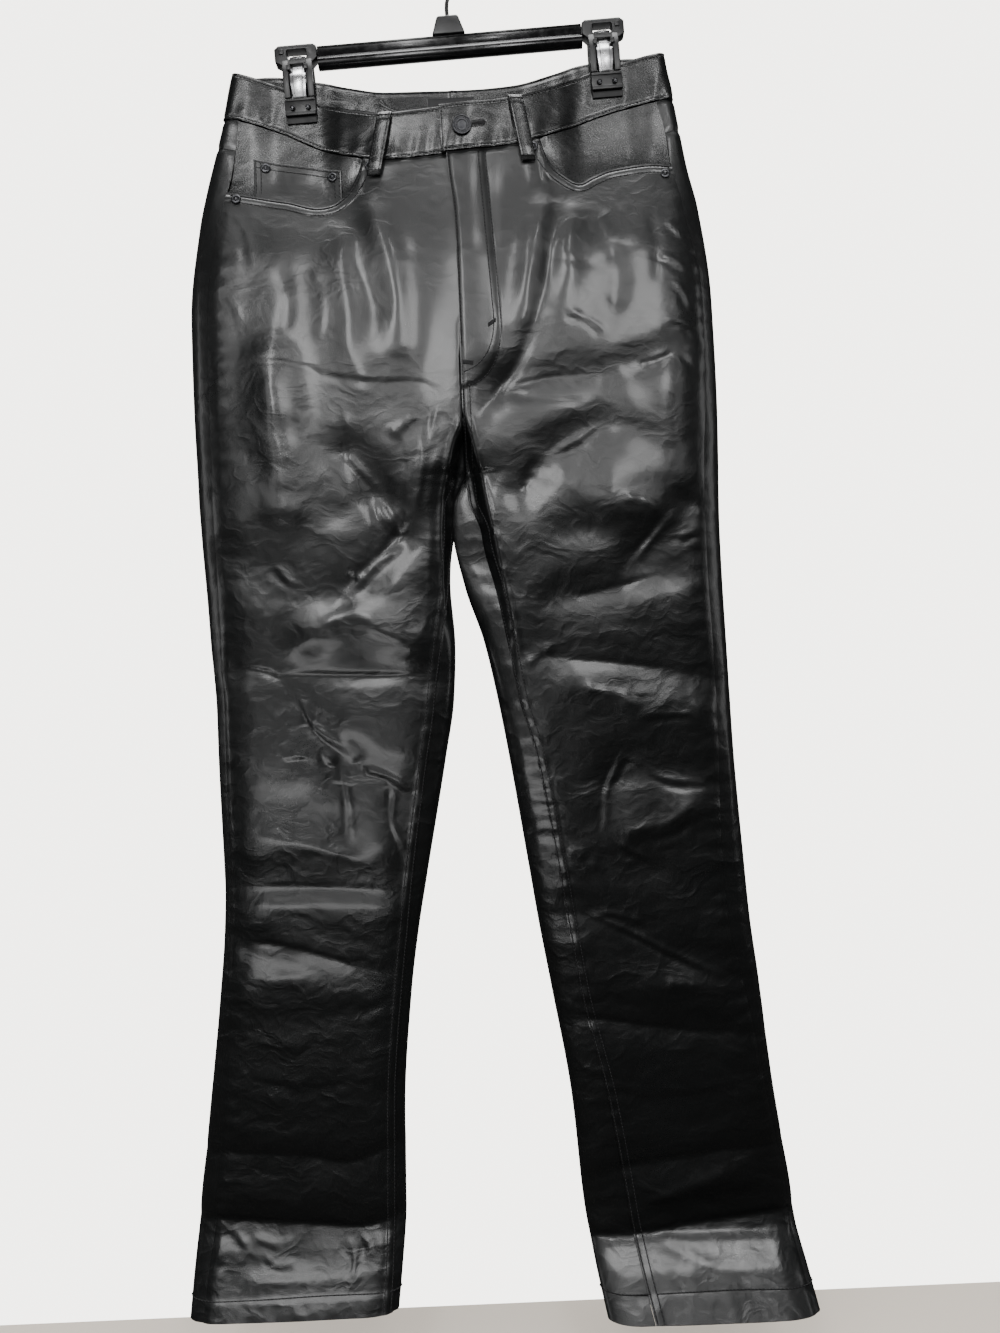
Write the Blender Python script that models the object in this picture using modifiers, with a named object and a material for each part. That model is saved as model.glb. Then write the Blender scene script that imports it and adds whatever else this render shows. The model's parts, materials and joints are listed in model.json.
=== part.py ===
# Straight-leg faux leather trousers held by a clip hanger.
#
# +Z is up, +X runs along the hanger and the front of the trousers faces -Y. The origin is the
# inside top of the hanger's hook, where a rail or a wall hook touches it. Tables are in
# millimetres. "Drop" is the height below the top of the waist at the sides. Side -1 is the leg
# at -X and side +1 the leg at +X. A leg is a flattened tube, and "around" runs round it: 0 is
# its outer fold, up to +1 across the front to its inner fold, and down to -1 across the back.

import math
from bisect import bisect_right
from collections import namedtuple

import bmesh
import bpy
from mathutils import Vector

MM = 0.001
SEAM_GAP = 0.3
HALF_GAP = SEAM_GAP / 2

LEFT, RIGHT = -1, 1
FRONT, BACK = 1, -1
SIDE_NAME = {LEFT: "left", RIGHT: "right"}

# Where the cloth hangs from the hook.
WAIST_Z = -111.0
CLOTH_SHIFT = 2.7
CROTCH_DROP = 358.0
HEM_DROP = 1069.0

# Wall thicknesses.
CLOTH = 1.6
BAND = 3.0
BAND_PROUD = 0.6
BAND_HEIGHT = 40.0

# Outlines of the two legs: distance of the outer and inner folds from the middle of the waist,
# and how far the side seam and the inseam lie on the front, in from those folds.
Outline = namedtuple("Outline", "drop outer inner side_seam inseam")
LEG = {
    LEFT: (
        Outline(0, 188, 0, 9, 0),
        Outline(39, 197, 0, 14, 0),
        Outline(70, 205.5, 0, 18, 0),
        Outline(100, 214, 0, 21, 0),
        Outline(135, 222, 0, 19, 0),
        Outline(215, 232.5, 0, 18.5, 0),
        Outline(300, 233.5, 0, 17, 0),
        Outline(358, 233, 1.2, 16, 0),
        Outline(370, 233, 6.8, 15.5, 0),
        Outline(385, 232.6, 12.7, 15, 0),
        Outline(410, 231.8, 14.2, 14.4, 0),
        Outline(455, 229.7, 18.3, 12.5, 1),
        Outline(500, 228.2, 16.3, 11, 10),
        Outline(550, 225.9, 19.4, 9, 15),
        Outline(600, 226.3, 28.6, 8.5, 14.5),
        Outline(700, 225.7, 49.2, 6.5, 11),
        Outline(750, 228.8, 59.2, 6, 8),
        Outline(800, 234.8, 67.3, 6.5, 7),
        Outline(900, 249.2, 77.9, 11, 7),
        Outline(1000, 263.7, 81.6, 16, 8),
        Outline(1040, 266.8, 85.4, 14, 6),
        Outline(1069, 268, 88.7, 14, 5),
    ),
    RIGHT: (
        Outline(0, 187, 0, 10, 0),
        Outline(39, 193.2, 0, 16, 0),
        Outline(70, 198, 0, 13.5, 0),
        Outline(100, 202.8, 0, 15, 0),
        Outline(135, 210.2, 0, 15, 0),
        Outline(215, 218.4, 0, 10, 0),
        Outline(300, 219.4, 0, 12, 0),
        Outline(358, 218.4, -0.9, 15, 0),
        Outline(370, 218, -6.2, 15, 6),
        Outline(385, 217.6, -12, 15, 14),
        Outline(410, 217.2, -13.4, 14.5, 24),
        Outline(455, 217.6, -5.7, 14.7, 25.7),
        Outline(500, 218.6, 8.1, 14, 20),
        Outline(550, 219.8, 17.9, 14, 18),
        Outline(600, 221, 25.7, 15, 23),
        Outline(700, 226.2, 39.2, 21, 24.5),
        Outline(750, 229.4, 45.8, 21, 24.5),
        Outline(800, 234.7, 53.4, 16, 24),
        Outline(900, 244.6, 67.8, 8, 30.5),
        Outline(1000, 258.3, 75.1, 5, 37.5),
        Outline(1040, 261.7, 81.2, 5, 38),
        Outline(1069, 264, 87.6, 5, 38),
    ),
}

# Half the depth of the tubes, and how far their middle leans back (+) or forward (-). The hems
# kick forward below the bend at the ankle.
Depth = namedtuple("Depth", "drop half left right")
DEPTHS = (
    Depth(0, 12, 0, 0),
    Depth(65, 13, 0, 0),
    Depth(180, 21, -2, -2),
    Depth(270, 24, -2, -2),
    Depth(358, 24, -1, -1),
    Depth(455, 21.5, 0, 0),
    Depth(600, 19, 1, 1),
    Depth(750, 17, 3, 3),
    Depth(900, 14.5, 8, 8),
    Depth(975, 12, 9.5, 11),
    Depth(1000, 10.5, 8, 12.5),
    Depth(1022, 11, 3.5, 10),
    Depth(1045, 12.5, -3, -13),
    Depth(1069, 14, -11, -38),
)

# Half the gap between front and back along the waist: flat between the clip jaws, open between
# the clips and at the side folds.
Mouth = namedtuple("Mouth", "reach half")
MOUTH = (
    Mouth(0, 15),
    Mouth(60, 13),
    Mouth(92, 7.5),
    Mouth(114, 2.9),
    Mouth(150, 2.9),
    Mouth(175, 5.6),
    Mouth(195, 6),
)
MOUTH_KEPT = 50.0
MOUTH_FADE = 130.0

# How far the top edge of the waistband hangs down, front and back.
WaistEdge = namedtuple("WaistEdge", "x front back")
WAIST_EDGE = (
    WaistEdge(-188, 1, 1),
    WaistEdge(-150, 13, 4),
    WaistEdge(-114, 30, 10),
    WaistEdge(-85, 40, 13),
    WaistEdge(-55, 46, 15),
    WaistEdge(-10, 43.5, 15),
    WaistEdge(20, 41, 15),
    WaistEdge(52, 37, 14),
    WaistEdge(90, 26, 9),
    WaistEdge(121, 14, 4),
    WaistEdge(150, 6, 1),
    WaistEdge(187, 0, 0),
)

# The curved pocket mouths, from the waistband out to the side seam.
PocketMouth = namedtuple("PocketMouth", "reach drop")
POCKET_MOUTH = {
    LEFT: (
        PocketMouth(77.5, 84),
        PocketMouth(83, 99),
        PocketMouth(93, 114),
        PocketMouth(106, 122.5),
        PocketMouth(117, 124),
        PocketMouth(144, 117),
        PocketMouth(205, 105),
    ),
    RIGHT: (
        PocketMouth(75.5, 73),
        PocketMouth(80, 88),
        PocketMouth(93, 104),
        PocketMouth(107.6, 112),
        PocketMouth(119, 106.5),
        PocketMouth(136, 100),
        PocketMouth(166, 97),
        PocketMouth(200, 100.5),
    ),
}

# Where the columns of the front panels lie at pocket height, closer together at the mouth's
# steep end. The coin pocket takes four of the left panel's gaps.
COLUMNS = {
    LEFT: (182, 168, 150, 132, 115, 99, 91, 84, 78.5, 66, 50, 34, 18, 6),
    RIGHT: (176, 162, 146, 130, 117, 106, 96, 88, 81, 76.5, 62, 46, 30, 14),
}
COLUMN_DROP = 105.0
COIN_COLUMNS = (2, 6)

# The fly: its edge on the right panel laps over the left panel down to the crotch seam.
FlyEdge = namedtuple("FlyEdge", "drop x")
FLY_EDGE = (
    FlyEdge(40, -7.5),
    FlyEdge(100, -4.5),
    FlyEdge(135, -1.3),
    FlyEdge(170, -0.4),
    FlyEdge(358, -1.05),
)
FLY_UNDERLAP = 8.0
FLY_LAP_END = 246.0
FRONT_CROTCH_CURVE = 55.0
BACK_CROTCH_CURVE = 110.0

# The largest folds: a path of (x, drop) points, the fold's half width and its height, which is
# negative for a valley.
Fold = namedtuple("Fold", "path width height")
FRONT_FOLDS = {
    LEFT: (
        Fold(((-65, 139), (-56, 171), (-50, 208), (-51, 245)), 17, 4.5),
        Fold(((-89, 160), (-69, 216)), 16, -4.0),
        Fold(((-94, 160), (-90, 215), (-80, 275)), 17, 3.5),
        Fold(((-161, 258), (-154, 342), (-153, 379)), 20, 4.0),
        Fold(((-95, 339), (-63, 379)), 17, -4.0),
        Fold(((-26, 300), (-24, 340), (-20, 372)), 16, 3.5),
        Fold(((-75, 378), (-57, 408)), 19, -4.5),
        Fold(((-53, 417), (-105, 462)), 17, -3.5),
        Fold(((-132, 486), (-98, 474), (-49, 499)), 18, 4.0),
        Fold(((-200, 515), (-133, 524), (-29, 527)), 18, -3.0),
        Fold(((-146, 547), (-106, 597), (-57, 627)), 18, -5.0),
        Fold(((-110, 604), (-108, 679)), 18, -4.0),
        Fold(((-73, 640), (-62, 690)), 16, -3.5),
        Fold(((-195, 662), (-108, 684)), 20, 4.0),
        Fold(((-200, 702), (-75, 708)), 18, -4.0),
        Fold(((-198, 724), (-80, 728)), 19, 3.5),
        Fold(((-200, 757), (-96, 779)), 19, -3.5),
        Fold(((-194, 790), (-130, 790)), 20, 3.5),
        Fold(((-226, 936), (-127, 948), (-93, 938)), 19, -3.0),
        Fold(((-250, 996), (-160, 1002), (-88, 998)), 16, -3.5),
    ),
    RIGHT: (
        Fold(((77, 139), (66, 180), (56, 229)), 17, 4.0),
        Fold(((87, 131), (74, 204), (59, 252), (22, 308)), 17, -5.0),
        Fold(((100, 140), (94, 185), (84, 223)), 17, 4.0),
        Fold(((37, 286), (80, 281), (120, 281)), 17, -3.5),
        Fold(((150, 273), (186, 262)), 17, -3.0),
        Fold(((118, 322), (73, 346), (48, 378)), 18, -4.0),
        Fold(((125, 388), (164, 402)), 18, 3.5),
        Fold(((184, 395), (146, 436)), 18, -4.0),
        Fold(((80, 466), (112, 462), (169, 450)), 17, -3.5),
        Fold(((59, 512), (147, 528), (194, 539)), 19, -3.0),
        Fold(((86, 542), (128, 554), (188, 571)), 18, 3.5),
        Fold(((114, 630), (145, 616), (200, 632)), 18, -4.5),
        Fold(((123, 607), (109, 658)), 17, -3.5),
        Fold(((119, 671), (160, 664), (190, 642)), 18, 4.0),
        Fold(((116, 690), (147, 700)), 18, -4.0),
        Fold(((80, 732), (160, 775), (222, 806)), 19, -4.5),
        Fold(((152, 801), (190, 808)), 19, 3.5),
        Fold(((70, 827), (198, 847)), 17, -3.0),
        Fold(((121, 960), (167, 957), (240, 952)), 18, -3.5),
        Fold(((119, 996), (216, 970)), 17, 3.0),
        Fold(((80, 1018), (165, 1014), (255, 1010)), 16, -3.5),
        Fold(((135, 1030), (194, 1041), (255, 1043)), 15, 3.0),
    ),
}
BACK_FOLDS = {
    LEFT: (
        Fold(((-150, 275), (-60, 300)), 20, -4.0),
        Fold(((-170, 330), (-80, 345)), 20, 3.5),
        Fold(((-60, 370), (-130, 400)), 19, -4.5),
        Fold(((-190, 470), (-90, 455)), 19, -4.0),
        Fold(((-195, 540), (-60, 560)), 19, 4.0),
        Fold(((-70, 590), (-150, 615)), 19, -5.0),
        Fold(((-180, 660), (-90, 650)), 19, 4.0),
        Fold(((-200, 720), (-100, 700)), 20, -4.0),
        Fold(((-110, 780), (-200, 800)), 20, 3.5),
        Fold(((-210, 860), (-110, 875)), 20, -3.5),
        Fold(((-225, 945), (-110, 935)), 19, 3.5),
    ),
    RIGHT: (
        Fold(((60, 290), (150, 280)), 20, -4.0),
        Fold(((70, 350), (160, 335)), 20, 3.5),
        Fold(((140, 395), (60, 375)), 19, -4.5),
        Fold(((80, 450), (180, 470)), 19, -4.0),
        Fold(((60, 548), (190, 535)), 19, 4.0),
        Fold(((80, 620), (170, 600)), 19, -5.0),
        Fold(((95, 655), (190, 668)), 19, 4.0),
        Fold(((80, 730), (190, 715)), 20, -4.0),
        Fold(((100, 790), (200, 785)), 20, 3.5),
        Fold(((110, 880), (220, 865)), 20, -3.5),
        Fold(((120, 930), (230, 945)), 19, 3.5),
    ),
}
FOLD_FADE = 26.0

# The hanger, in its own frame: its middle is under the hook and it hangs a little aslant.
HANGER_TILT = math.radians(2.4)
WIRE_RADIUS = 1.7
HOOK_RADIUS = 22.0
STEM_TOP = -62.0
BOSS_TOP = -69.8
BOSS_HEIGHT = 16.2
BAR_TOP = BOSS_TOP - BOSS_HEIGHT - SEAM_GAP
BAR_TUBE_RADIUS = 5.6
BAR_TUBE_Z = -100.4
FRAME_INNER = 115.2
FRAME_OUTER = 151.6
FRAME_Z = -95.0
FRAME_HEIGHT = 20.0
FRAME_DEPTH = 11.0
CLIP_X = 132.6
JAW_TOP = -132.5
JAW_WIDTH = 27.0
PLATE_HEIGHT = 15.0
PLATE_THICKNESS = 1.5
PAD_HEIGHT = 20.5
PAD_THICKNESS = 1.2
PAD_FACE = 3.9
SPRING_WIDTH = 12.0
SPRING_THICKNESS = 0.9
PIN_SPACING = 13.4


def clear_scene():
    for item in list(bpy.data.objects):
        bpy.data.objects.remove(item, do_unlink=True)
    for group in list(bpy.data.collections):
        bpy.data.collections.remove(group)


clear_scene()
model = bpy.data.collections.new("trousers_on_hanger")
cutters = bpy.data.collections.new("cutters")
bpy.context.scene.collection.children.link(model)
bpy.context.scene.collection.children.link(cutters)


def new_material(name, colour, roughness, metallic=0.0):
    material = bpy.data.materials.new(name)
    material.use_nodes = True
    shader = material.node_tree.nodes["Principled BSDF"]
    shader.inputs["Base Color"].default_value = (*colour, 1.0)
    shader.inputs["Roughness"].default_value = roughness
    shader.inputs["Metallic"].default_value = metallic
    return material


FAUX_LEATHER = new_material("faux_leather", (0.018, 0.019, 0.020), 0.38)
FAUX_LEATHER_BAND = new_material("faux_leather_band", (0.020, 0.021, 0.022), 0.36)
POCKET_CLOTH = new_material("pocket_facing", (0.016, 0.017, 0.018), 0.42)
LABEL_CLOTH = new_material("label_cloth", (0.03, 0.03, 0.03), 0.7)
GUNMETAL = new_material("gunmetal", (0.12, 0.12, 0.13), 0.35, 1.0)
BLACK_PLASTIC = new_material("black_plastic", (0.012, 0.012, 0.013), 0.15)
PAD_RUBBER = new_material("pad_rubber", (0.03, 0.03, 0.032), 0.6)
SPRING_STEEL = new_material("spring_steel", (0.6, 0.6, 0.6), 0.3, 1.0)
CHROME_WIRE = new_material("chrome_wire", (0.75, 0.75, 0.76), 0.12, 1.0)


# ---- curves through the tables ----


def curve(rows, along, value):
    """A smooth curve through one column of a table that never overshoots its rows."""
    at = [getattr(row, along) for row in rows]
    size = [getattr(row, value) for row in rows]
    slopes = [(size[i + 1] - size[i]) / (at[i + 1] - at[i]) for i in range(len(at) - 1)]
    lean = [slopes[0]]
    for before, after in zip(slopes, slopes[1:]):
        turns = before * after <= 0
        lean.append(0.0 if turns else 2 * before * after / (before + after))
    lean.append(slopes[-1])

    def value_at(place):
        place = min(max(place, at[0]), at[-1])
        i = min(bisect_right(at, place), len(at) - 1) - 1
        span = at[i + 1] - at[i]
        t = (place - at[i]) / span
        start = (1 + 2 * t) * (1 - t) ** 2 * size[i] + t * (1 - t) ** 2 * span * lean[i]
        end = t * t * (3 - 2 * t) * size[i + 1] + t * t * (t - 1) * span * lean[i + 1]
        return start + end

    return value_at


def ease(t):
    t = min(max(t, 0.0), 1.0)
    return t * t * (3 - 2 * t)


outer_at = {side: curve(LEG[side], "drop", "outer") for side in LEG}
inner_at = {side: curve(LEG[side], "drop", "inner") for side in LEG}
side_seam_at = {side: curve(LEG[side], "drop", "side_seam") for side in LEG}
inseam_at = {side: curve(LEG[side], "drop", "inseam") for side in LEG}
body_half_at = curve(DEPTHS, "drop", "half")
lean_at = {LEFT: curve(DEPTHS, "drop", "left"), RIGHT: curve(DEPTHS, "drop", "right")}
mouth_half_at = curve(MOUTH, "reach", "half")
waist_edge_at = {
    FRONT: curve(WAIST_EDGE, "x", "front"),
    BACK: curve(WAIST_EDGE, "x", "back"),
}
pocket_mouth_at = {side: curve(POCKET_MOUTH[side], "reach", "drop") for side in LEG}
fly_edge_at = curve(FLY_EDGE, "drop", "x")


# ---- the cloth surface ----


def inner_x(side, face, drop, end=None):
    """The x of the inner fold, or of the middle seam above the crotch."""
    if drop >= CROTCH_DROP:
        return side * inner_at[side](drop)
    if end is not None and face == FRONT:
        return end
    if face == BACK:
        share = ease((drop - CROTCH_DROP + BACK_CROTCH_CURVE) / BACK_CROTCH_CURVE)
        return share * fly_edge_at(drop) + side * HALF_GAP
    under = 0.0
    if side == LEFT:
        under = FLY_UNDERLAP * (1 - ease((drop - FLY_LAP_END + 30) / 28))
    return fly_edge_at(drop) + side * HALF_GAP + under


def seam_depth(face, drop):
    """How far out the middle seam still is: 1 on the body, 0 at the crotch point."""
    curve_length = FRONT_CROTCH_CURVE if face == FRONT else BACK_CROTCH_CURVE
    above = CROTCH_DROP - drop
    if above <= 0:
        return 0.0
    if above >= curve_length:
        return 1.0
    return math.sqrt(1 - (1 - above / curve_length) ** 2)


def rounding(distance, reach):
    if distance >= reach:
        return 1.0
    return math.sqrt(max(0.0, 1 - (1 - distance / reach) ** 2))


def fold_height(folds, x, drop):
    height = 0.0
    for fold in folds:
        nearest = 1e9
        for (x0, d0), (x1, d1) in zip(fold.path, fold.path[1:]):
            along_x, along_d = x1 - x0, d1 - d0
            length = along_x * along_x + along_d * along_d
            t = ((x - x0) * along_x + (drop - d0) * along_d) / length
            t = min(max(t, 0.0), 1.0)
            nearest = min(nearest, math.hypot(x - x0 - t * along_x, drop - d0 - t * along_d))
        if nearest < 3 * fold.width:
            height += fold.height * math.exp(-((nearest / fold.width) ** 2))
    return height


def bare_point(side, around, drop, end=None):
    """A point of the cloth's outer surface, in millimetres."""
    if around < -1:
        around += 2
    elif around > 1:
        around -= 2
    face = FRONT if around >= 0 else BACK
    outer = side * outer_at[side](drop)
    inner = inner_x(side, face, drop, end)
    reach = (inner - outer) / 2
    x = (inner + outer) / 2 - reach * math.cos(math.pi * abs(around))
    from_outer, from_inner = abs(x - outer), abs(inner - x)
    open_share = ease((drop - MOUTH_KEPT) / MOUTH_FADE)
    half = mouth_half_at(abs(x)) * (1 - open_share) + body_half_at(drop) * open_share
    edge = half * (1.3 + 1.0 * open_share)
    depth = seam_depth(face, drop)
    bulge = rounding(from_outer, edge) * (depth + (1 - depth) * rounding(from_inner, edge))
    folds = FRONT_FOLDS[side] if face == FRONT else BACK_FOLDS[side]
    inner_fade = 1.0 if drop < CROTCH_DROP else ease(from_inner / FOLD_FADE)
    fade = ease(from_outer / FOLD_FADE) * inner_fade
    raised = half * bulge + fade * fold_height(folds, x + CLOTH_SHIFT, drop)
    y = lean_at[side](drop) - face * raised
    return Vector((x + CLOTH_SHIFT, y, WAIST_Z - drop))


def cloth_point(side, around, drop, lift=0.0, end=None):
    """A point lifted off the cloth's outer surface, in metres."""
    here = bare_point(side, around, drop, end)
    step, drop_step = 0.004, 0.5
    low, high = around - step, around + step
    if drop < CROTCH_DROP:
        low, high = max(low, -1.0), min(high, 1.0)
    along = bare_point(side, high, drop, end) - bare_point(side, low, drop, end)
    upper = max(drop - drop_step, 0.0)
    lower = drop + drop_step
    if upper < CROTCH_DROP <= drop:
        upper = CROTCH_DROP
    elif drop < CROTCH_DROP <= lower:
        lower = CROTCH_DROP - 0.01
    down = bare_point(side, around, lower, end) - bare_point(side, around, upper, end)
    normal = down.cross(along) * -side
    return (here + normal.normalized() * lift) * MM


def around_at(side, face, x, drop, end=None):
    """Where x lies round the tube on one face."""
    outer = side * outer_at[side](drop)
    inner = inner_x(side, face, drop, end)
    reach = (inner - outer) / 2
    share = min(max(((inner + outer) / 2 - x) / reach, -1.0), 1.0)
    return face * math.acos(share) / math.pi


def side_seam(side, drop):
    outer = outer_at[side](drop)
    return around_at(side, FRONT, side * (outer - side_seam_at[side](drop)), drop)


def inseam(side, drop):
    if drop <= CROTCH_DROP:
        return 1.0
    inner = inner_at[side](drop)
    return around_at(side, FRONT, side * (inner + inseam_at[side](drop)), drop)


def fly_lap(side, x, drop):
    """1 where the right front lies over the left, fading to 0 away from the fly."""
    if side == LEFT:
        return 0.0
    return (1 - ease((x - 8) / 45)) * (1 - ease((drop - FLY_LAP_END) / 40))


# ---- solids ----


def wall(name, outside, inside, material):
    """A closed wall between two grids of points that face each other."""
    mesh = bpy.data.meshes.new(name)
    build = bmesh.new()
    rows, columns = len(outside), len(outside[0])
    outer = [[build.verts.new(point) for point in row] for row in outside]
    inner = [[build.verts.new(point) for point in row] for row in inside]
    for i in range(rows - 1):
        for j in range(columns - 1):
            build.faces.new((outer[i][j], outer[i + 1][j], outer[i + 1][j + 1], outer[i][j + 1]))
            build.faces.new((inner[i][j], inner[i][j + 1], inner[i + 1][j + 1], inner[i + 1][j]))
    for i in range(rows - 1):
        for j in (0, columns - 1):
            build.faces.new((outer[i][j], inner[i][j], inner[i + 1][j], outer[i + 1][j]))
    for j in range(columns - 1):
        for i in (0, rows - 1):
            build.faces.new((outer[i][j], outer[i][j + 1], inner[i][j + 1], inner[i][j]))
    bmesh.ops.recalc_face_normals(build, faces=build.faces)
    build.to_mesh(mesh)
    build.free()
    return add_object(name, mesh, material)


def add_object(name, data, material, parent=None):
    item = bpy.data.objects.new(name, data)
    model.objects.link(item)
    item.parent = parent
    if material.name not in [slot.name for slot in data.materials if slot]:
        data.materials.append(material)
    if item.type == "MESH":
        data.shade_smooth()
        data.set_sharp_from_angle(angle=math.radians(40))
    return item


def shell(name, material, side, grid, lift, thickness, lap=None, end=None):
    """A cloth wall from a grid of (around, drop) places."""
    outside, inside = [], []
    for row in grid:
        outer_row, inner_row = [], []
        for around, drop in row:
            x = bare_point(side, around, drop, end).x - CLOTH_SHIFT
            front = around >= 0
            extra = lap * fly_lap(side, x, drop) if lap and front else 0.0
            outer_row.append(cloth_point(side, around, drop, lift + extra, end))
            inner_row.append(cloth_point(side, around, drop, lift + extra - thickness, end))
        outside.append(outer_row)
        inside.append(inner_row)
    return wall(name, outside, inside, material)


def spread(start, stop, count):
    return [start + (stop - start) * i / count for i in range(count + 1)]


def settle(side, around_of, edge_of):
    """The drop at which a column meets an edge that is given by x."""
    drop = 90.0
    for _ in range(12):
        around = around_of(drop)
        x = bare_point(side, around, drop).x - CLOTH_SHIFT
        drop = edge_of(x)
    return drop


def band_bottom(face, x):
    return waist_edge_at[face](x) + BAND_HEIGHT


def yoke_seam(x):
    return 110.0 - 0.22 * abs(x)


def leg_rows():
    """Row heights below the crotch, closer together round the bend at the ankle."""
    return spread(CROTCH_DROP, 970, 29)[1:] + spread(970, HEM_DROP, 7)[1:]


POCKET_BASE = 130.0
HIP_ROWS = 8


def hip_rows():
    return spread(POCKET_BASE, CROTCH_DROP, HIP_ROWS)[1:]


def column_shares(side):
    """Shares across the front panel, from the side seam to the middle, for its columns."""
    seam = side_seam(side, COLUMN_DROP)
    places = [around_at(side, FRONT, side * x, COLUMN_DROP) for x in COLUMNS[side]]
    return [0.0] + [(place - seam) / (1 - seam) for place in places] + [1.0]


def front_column(side, share, inset=0.0):
    def around_of(drop):
        start = side_seam(side, drop) + inset
        stop = inseam(side, drop) - (inset if drop >= CROTCH_DROP - 2 else 0.0)
        return start + (stop - start) * share

    return around_of


def front_top(side, x):
    """The front panel's upper edge: the waistband seam, then the pocket mouth."""
    start = POCKET_MOUTH[side][0].reach
    if abs(x) < start:
        return band_bottom(FRONT, x) + SEAM_GAP
    return pocket_mouth_at[side](abs(x))


SEAM_INSET = 0.0016


def front_panel(side):
    columns = []
    for share in column_shares(side):
        around_of = front_column(side, share, SEAM_INSET)
        top = settle(side, around_of, lambda x: front_top(side, x))
        drops = spread(top, POCKET_BASE, 2) + hip_rows() + leg_rows()
        columns.append([(around_of(drop), drop) for drop in drops])
    grid = list(zip(*columns))
    lap = CLOTH + SEAM_GAP
    return shell(f"front_panel_{SIDE_NAME[side]}", FAUX_LEATHER, side, grid, 0.0, CLOTH, lap)


def back_around(side, share, drop):
    start = side_seam(side, drop) - SEAM_INSET
    stop = inseam(side, drop) - 2 + (SEAM_INSET if drop >= CROTCH_DROP - 2 else 0.0)
    return start + (stop - start) * share


BACK_COLUMNS = 13


def back_panel(side):
    columns = []
    seam_top = settle(side, lambda drop: back_around(side, 0.0, drop), lambda x: front_top(side, x))
    for share in spread(0, 1, BACK_COLUMNS):
        top = settle(side, lambda drop: back_around(side, share, drop), yoke_seam) + SEAM_GAP
        below = max(seam_top, top + 8.0)
        drops = spread(top, below, 2) + spread(below, POCKET_BASE, 2)[1:] + hip_rows() + leg_rows()
        columns.append([(back_around(side, share, drop), drop) for drop in drops])
    grid = list(zip(*columns))
    return shell(f"back_panel_{SIDE_NAME[side]}", FAUX_LEATHER, side, grid, 0.0, CLOTH)


def back_yoke(side):
    columns = []
    for share in spread(0, 1, BACK_COLUMNS):

        def around_of(drop):
            return back_around(side, share, drop)

        def band_edge(x):
            face = FRONT if around_of(60.0) >= 0 else BACK
            return band_bottom(face, x) + SEAM_GAP

        top = settle(side, around_of, band_edge)
        bottom = settle(side, around_of, yoke_seam)
        columns.append([(around_of(drop), drop) for drop in spread(top, bottom, 3)])
    grid = list(zip(*columns))
    return shell(f"back_yoke_{SIDE_NAME[side]}", FAUX_LEATHER, side, grid, 0.0, CLOTH)


BAND_END = {LEFT: 14.0, RIGHT: -10.0}
BAND_STEPS = (0.4, 2, 5, 9, 15, 24, 36, 48, 60, 72, 84, 97, 110, 124, 138, 152, 166, 180)


def waistband(side):
    end = BAND_END[side]
    middle = 40.0
    half_width = (outer_at[side](middle) + side * -end) / 2
    across = [math.acos(1 - step / half_width) / math.pi for step in BAND_STEPS]
    arounds = [-1.0] + [-place for place in reversed(across)] + [0.0] + across + [1.0]
    rows = []
    for share in (0.0, 0.5, 1.0):
        row = []
        for around in arounds:
            face = FRONT if around >= 0 else BACK
            drop = middle
            for _ in range(12):
                x = bare_point(side, around, drop, end).x - CLOTH_SHIFT
                drop = waist_edge_at[face](x) + share * BAND_HEIGHT
            row.append((around, drop))
        rows.append(row)
    lap = BAND + SEAM_GAP
    name = f"waistband_{SIDE_NAME[side]}"
    return shell(name, FAUX_LEATHER_BAND, side, rows, BAND_PROUD, BAND, lap, end)


FACING_DEPTH = {LEFT: 3.6, RIGHT: 2.8}
FACING_THICKNESS = 1.2
FACING_COLUMNS = 11
COIN_ABOVE = 1.4
COIN_THICKNESS = 1.0


def facing_depth(side, x, drop):
    """The facing starts level with the panel at the waistband and sinks under the mouth."""
    top = band_bottom(FRONT, x)
    mouth = front_top(side, x)
    if mouth - top < 8.0:
        return FACING_DEPTH[side]
    return 0.3 + (FACING_DEPTH[side] - 0.3) * ease((drop - top) / (mouth - 4.0 - top))


def coin_top(x):
    return 77 + 0.19 * (x + 171)


def pocket_drops(side, around_of):
    """Row heights of the facing, which the coin pocket shares below its own top."""
    mouth = settle(side, around_of, lambda x: front_top(side, x))
    x = abs(bare_point(side, around_of(mouth), mouth).x - CLOTH_SHIFT)
    if x < POCKET_MOUTH[side][0].reach + 2.0:
        return spread(mouth + 1.2, POCKET_BASE, 4)
    top = settle(side, around_of, lambda x: band_bottom(FRONT, x) + 1.2)
    middle = (top + mouth) / 2
    if side == LEFT:
        middle = min(max(settle(side, around_of, coin_top), top + 4.0), mouth - 2.0)
    return [top, middle, mouth, (mouth + POCKET_BASE) / 2, POCKET_BASE]


def sunk_shell(name, material, side, grid, above, thickness):
    """A wall that follows the pocket facing's depth, lifted above it."""
    walls = ([], [])
    for row in grid:
        for points, inward in zip(walls, (0.0, thickness)):
            line = []
            for around, drop in row:
                x = bare_point(side, around, drop).x - CLOTH_SHIFT
                depth = facing_depth(side, x, drop) - above + inward
                line.append(cloth_point(side, around, drop, -depth))
            points.append(line)
    return wall(name, walls[0], walls[1], material)


def pocket_facing(side):
    columns = []
    lowest = hip_rows()[0]
    for share in column_shares(side)[:FACING_COLUMNS]:
        around_of = front_column(side, share, SEAM_INSET)
        drops = pocket_drops(side, around_of) + [lowest]
        columns.append([(around_of(drop), drop) for drop in drops])
    grid = list(zip(*columns))
    name = f"pocket_facing_{SIDE_NAME[side]}"
    return sunk_shell(name, POCKET_CLOTH, side, grid, 0.0, FACING_THICKNESS)


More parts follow.
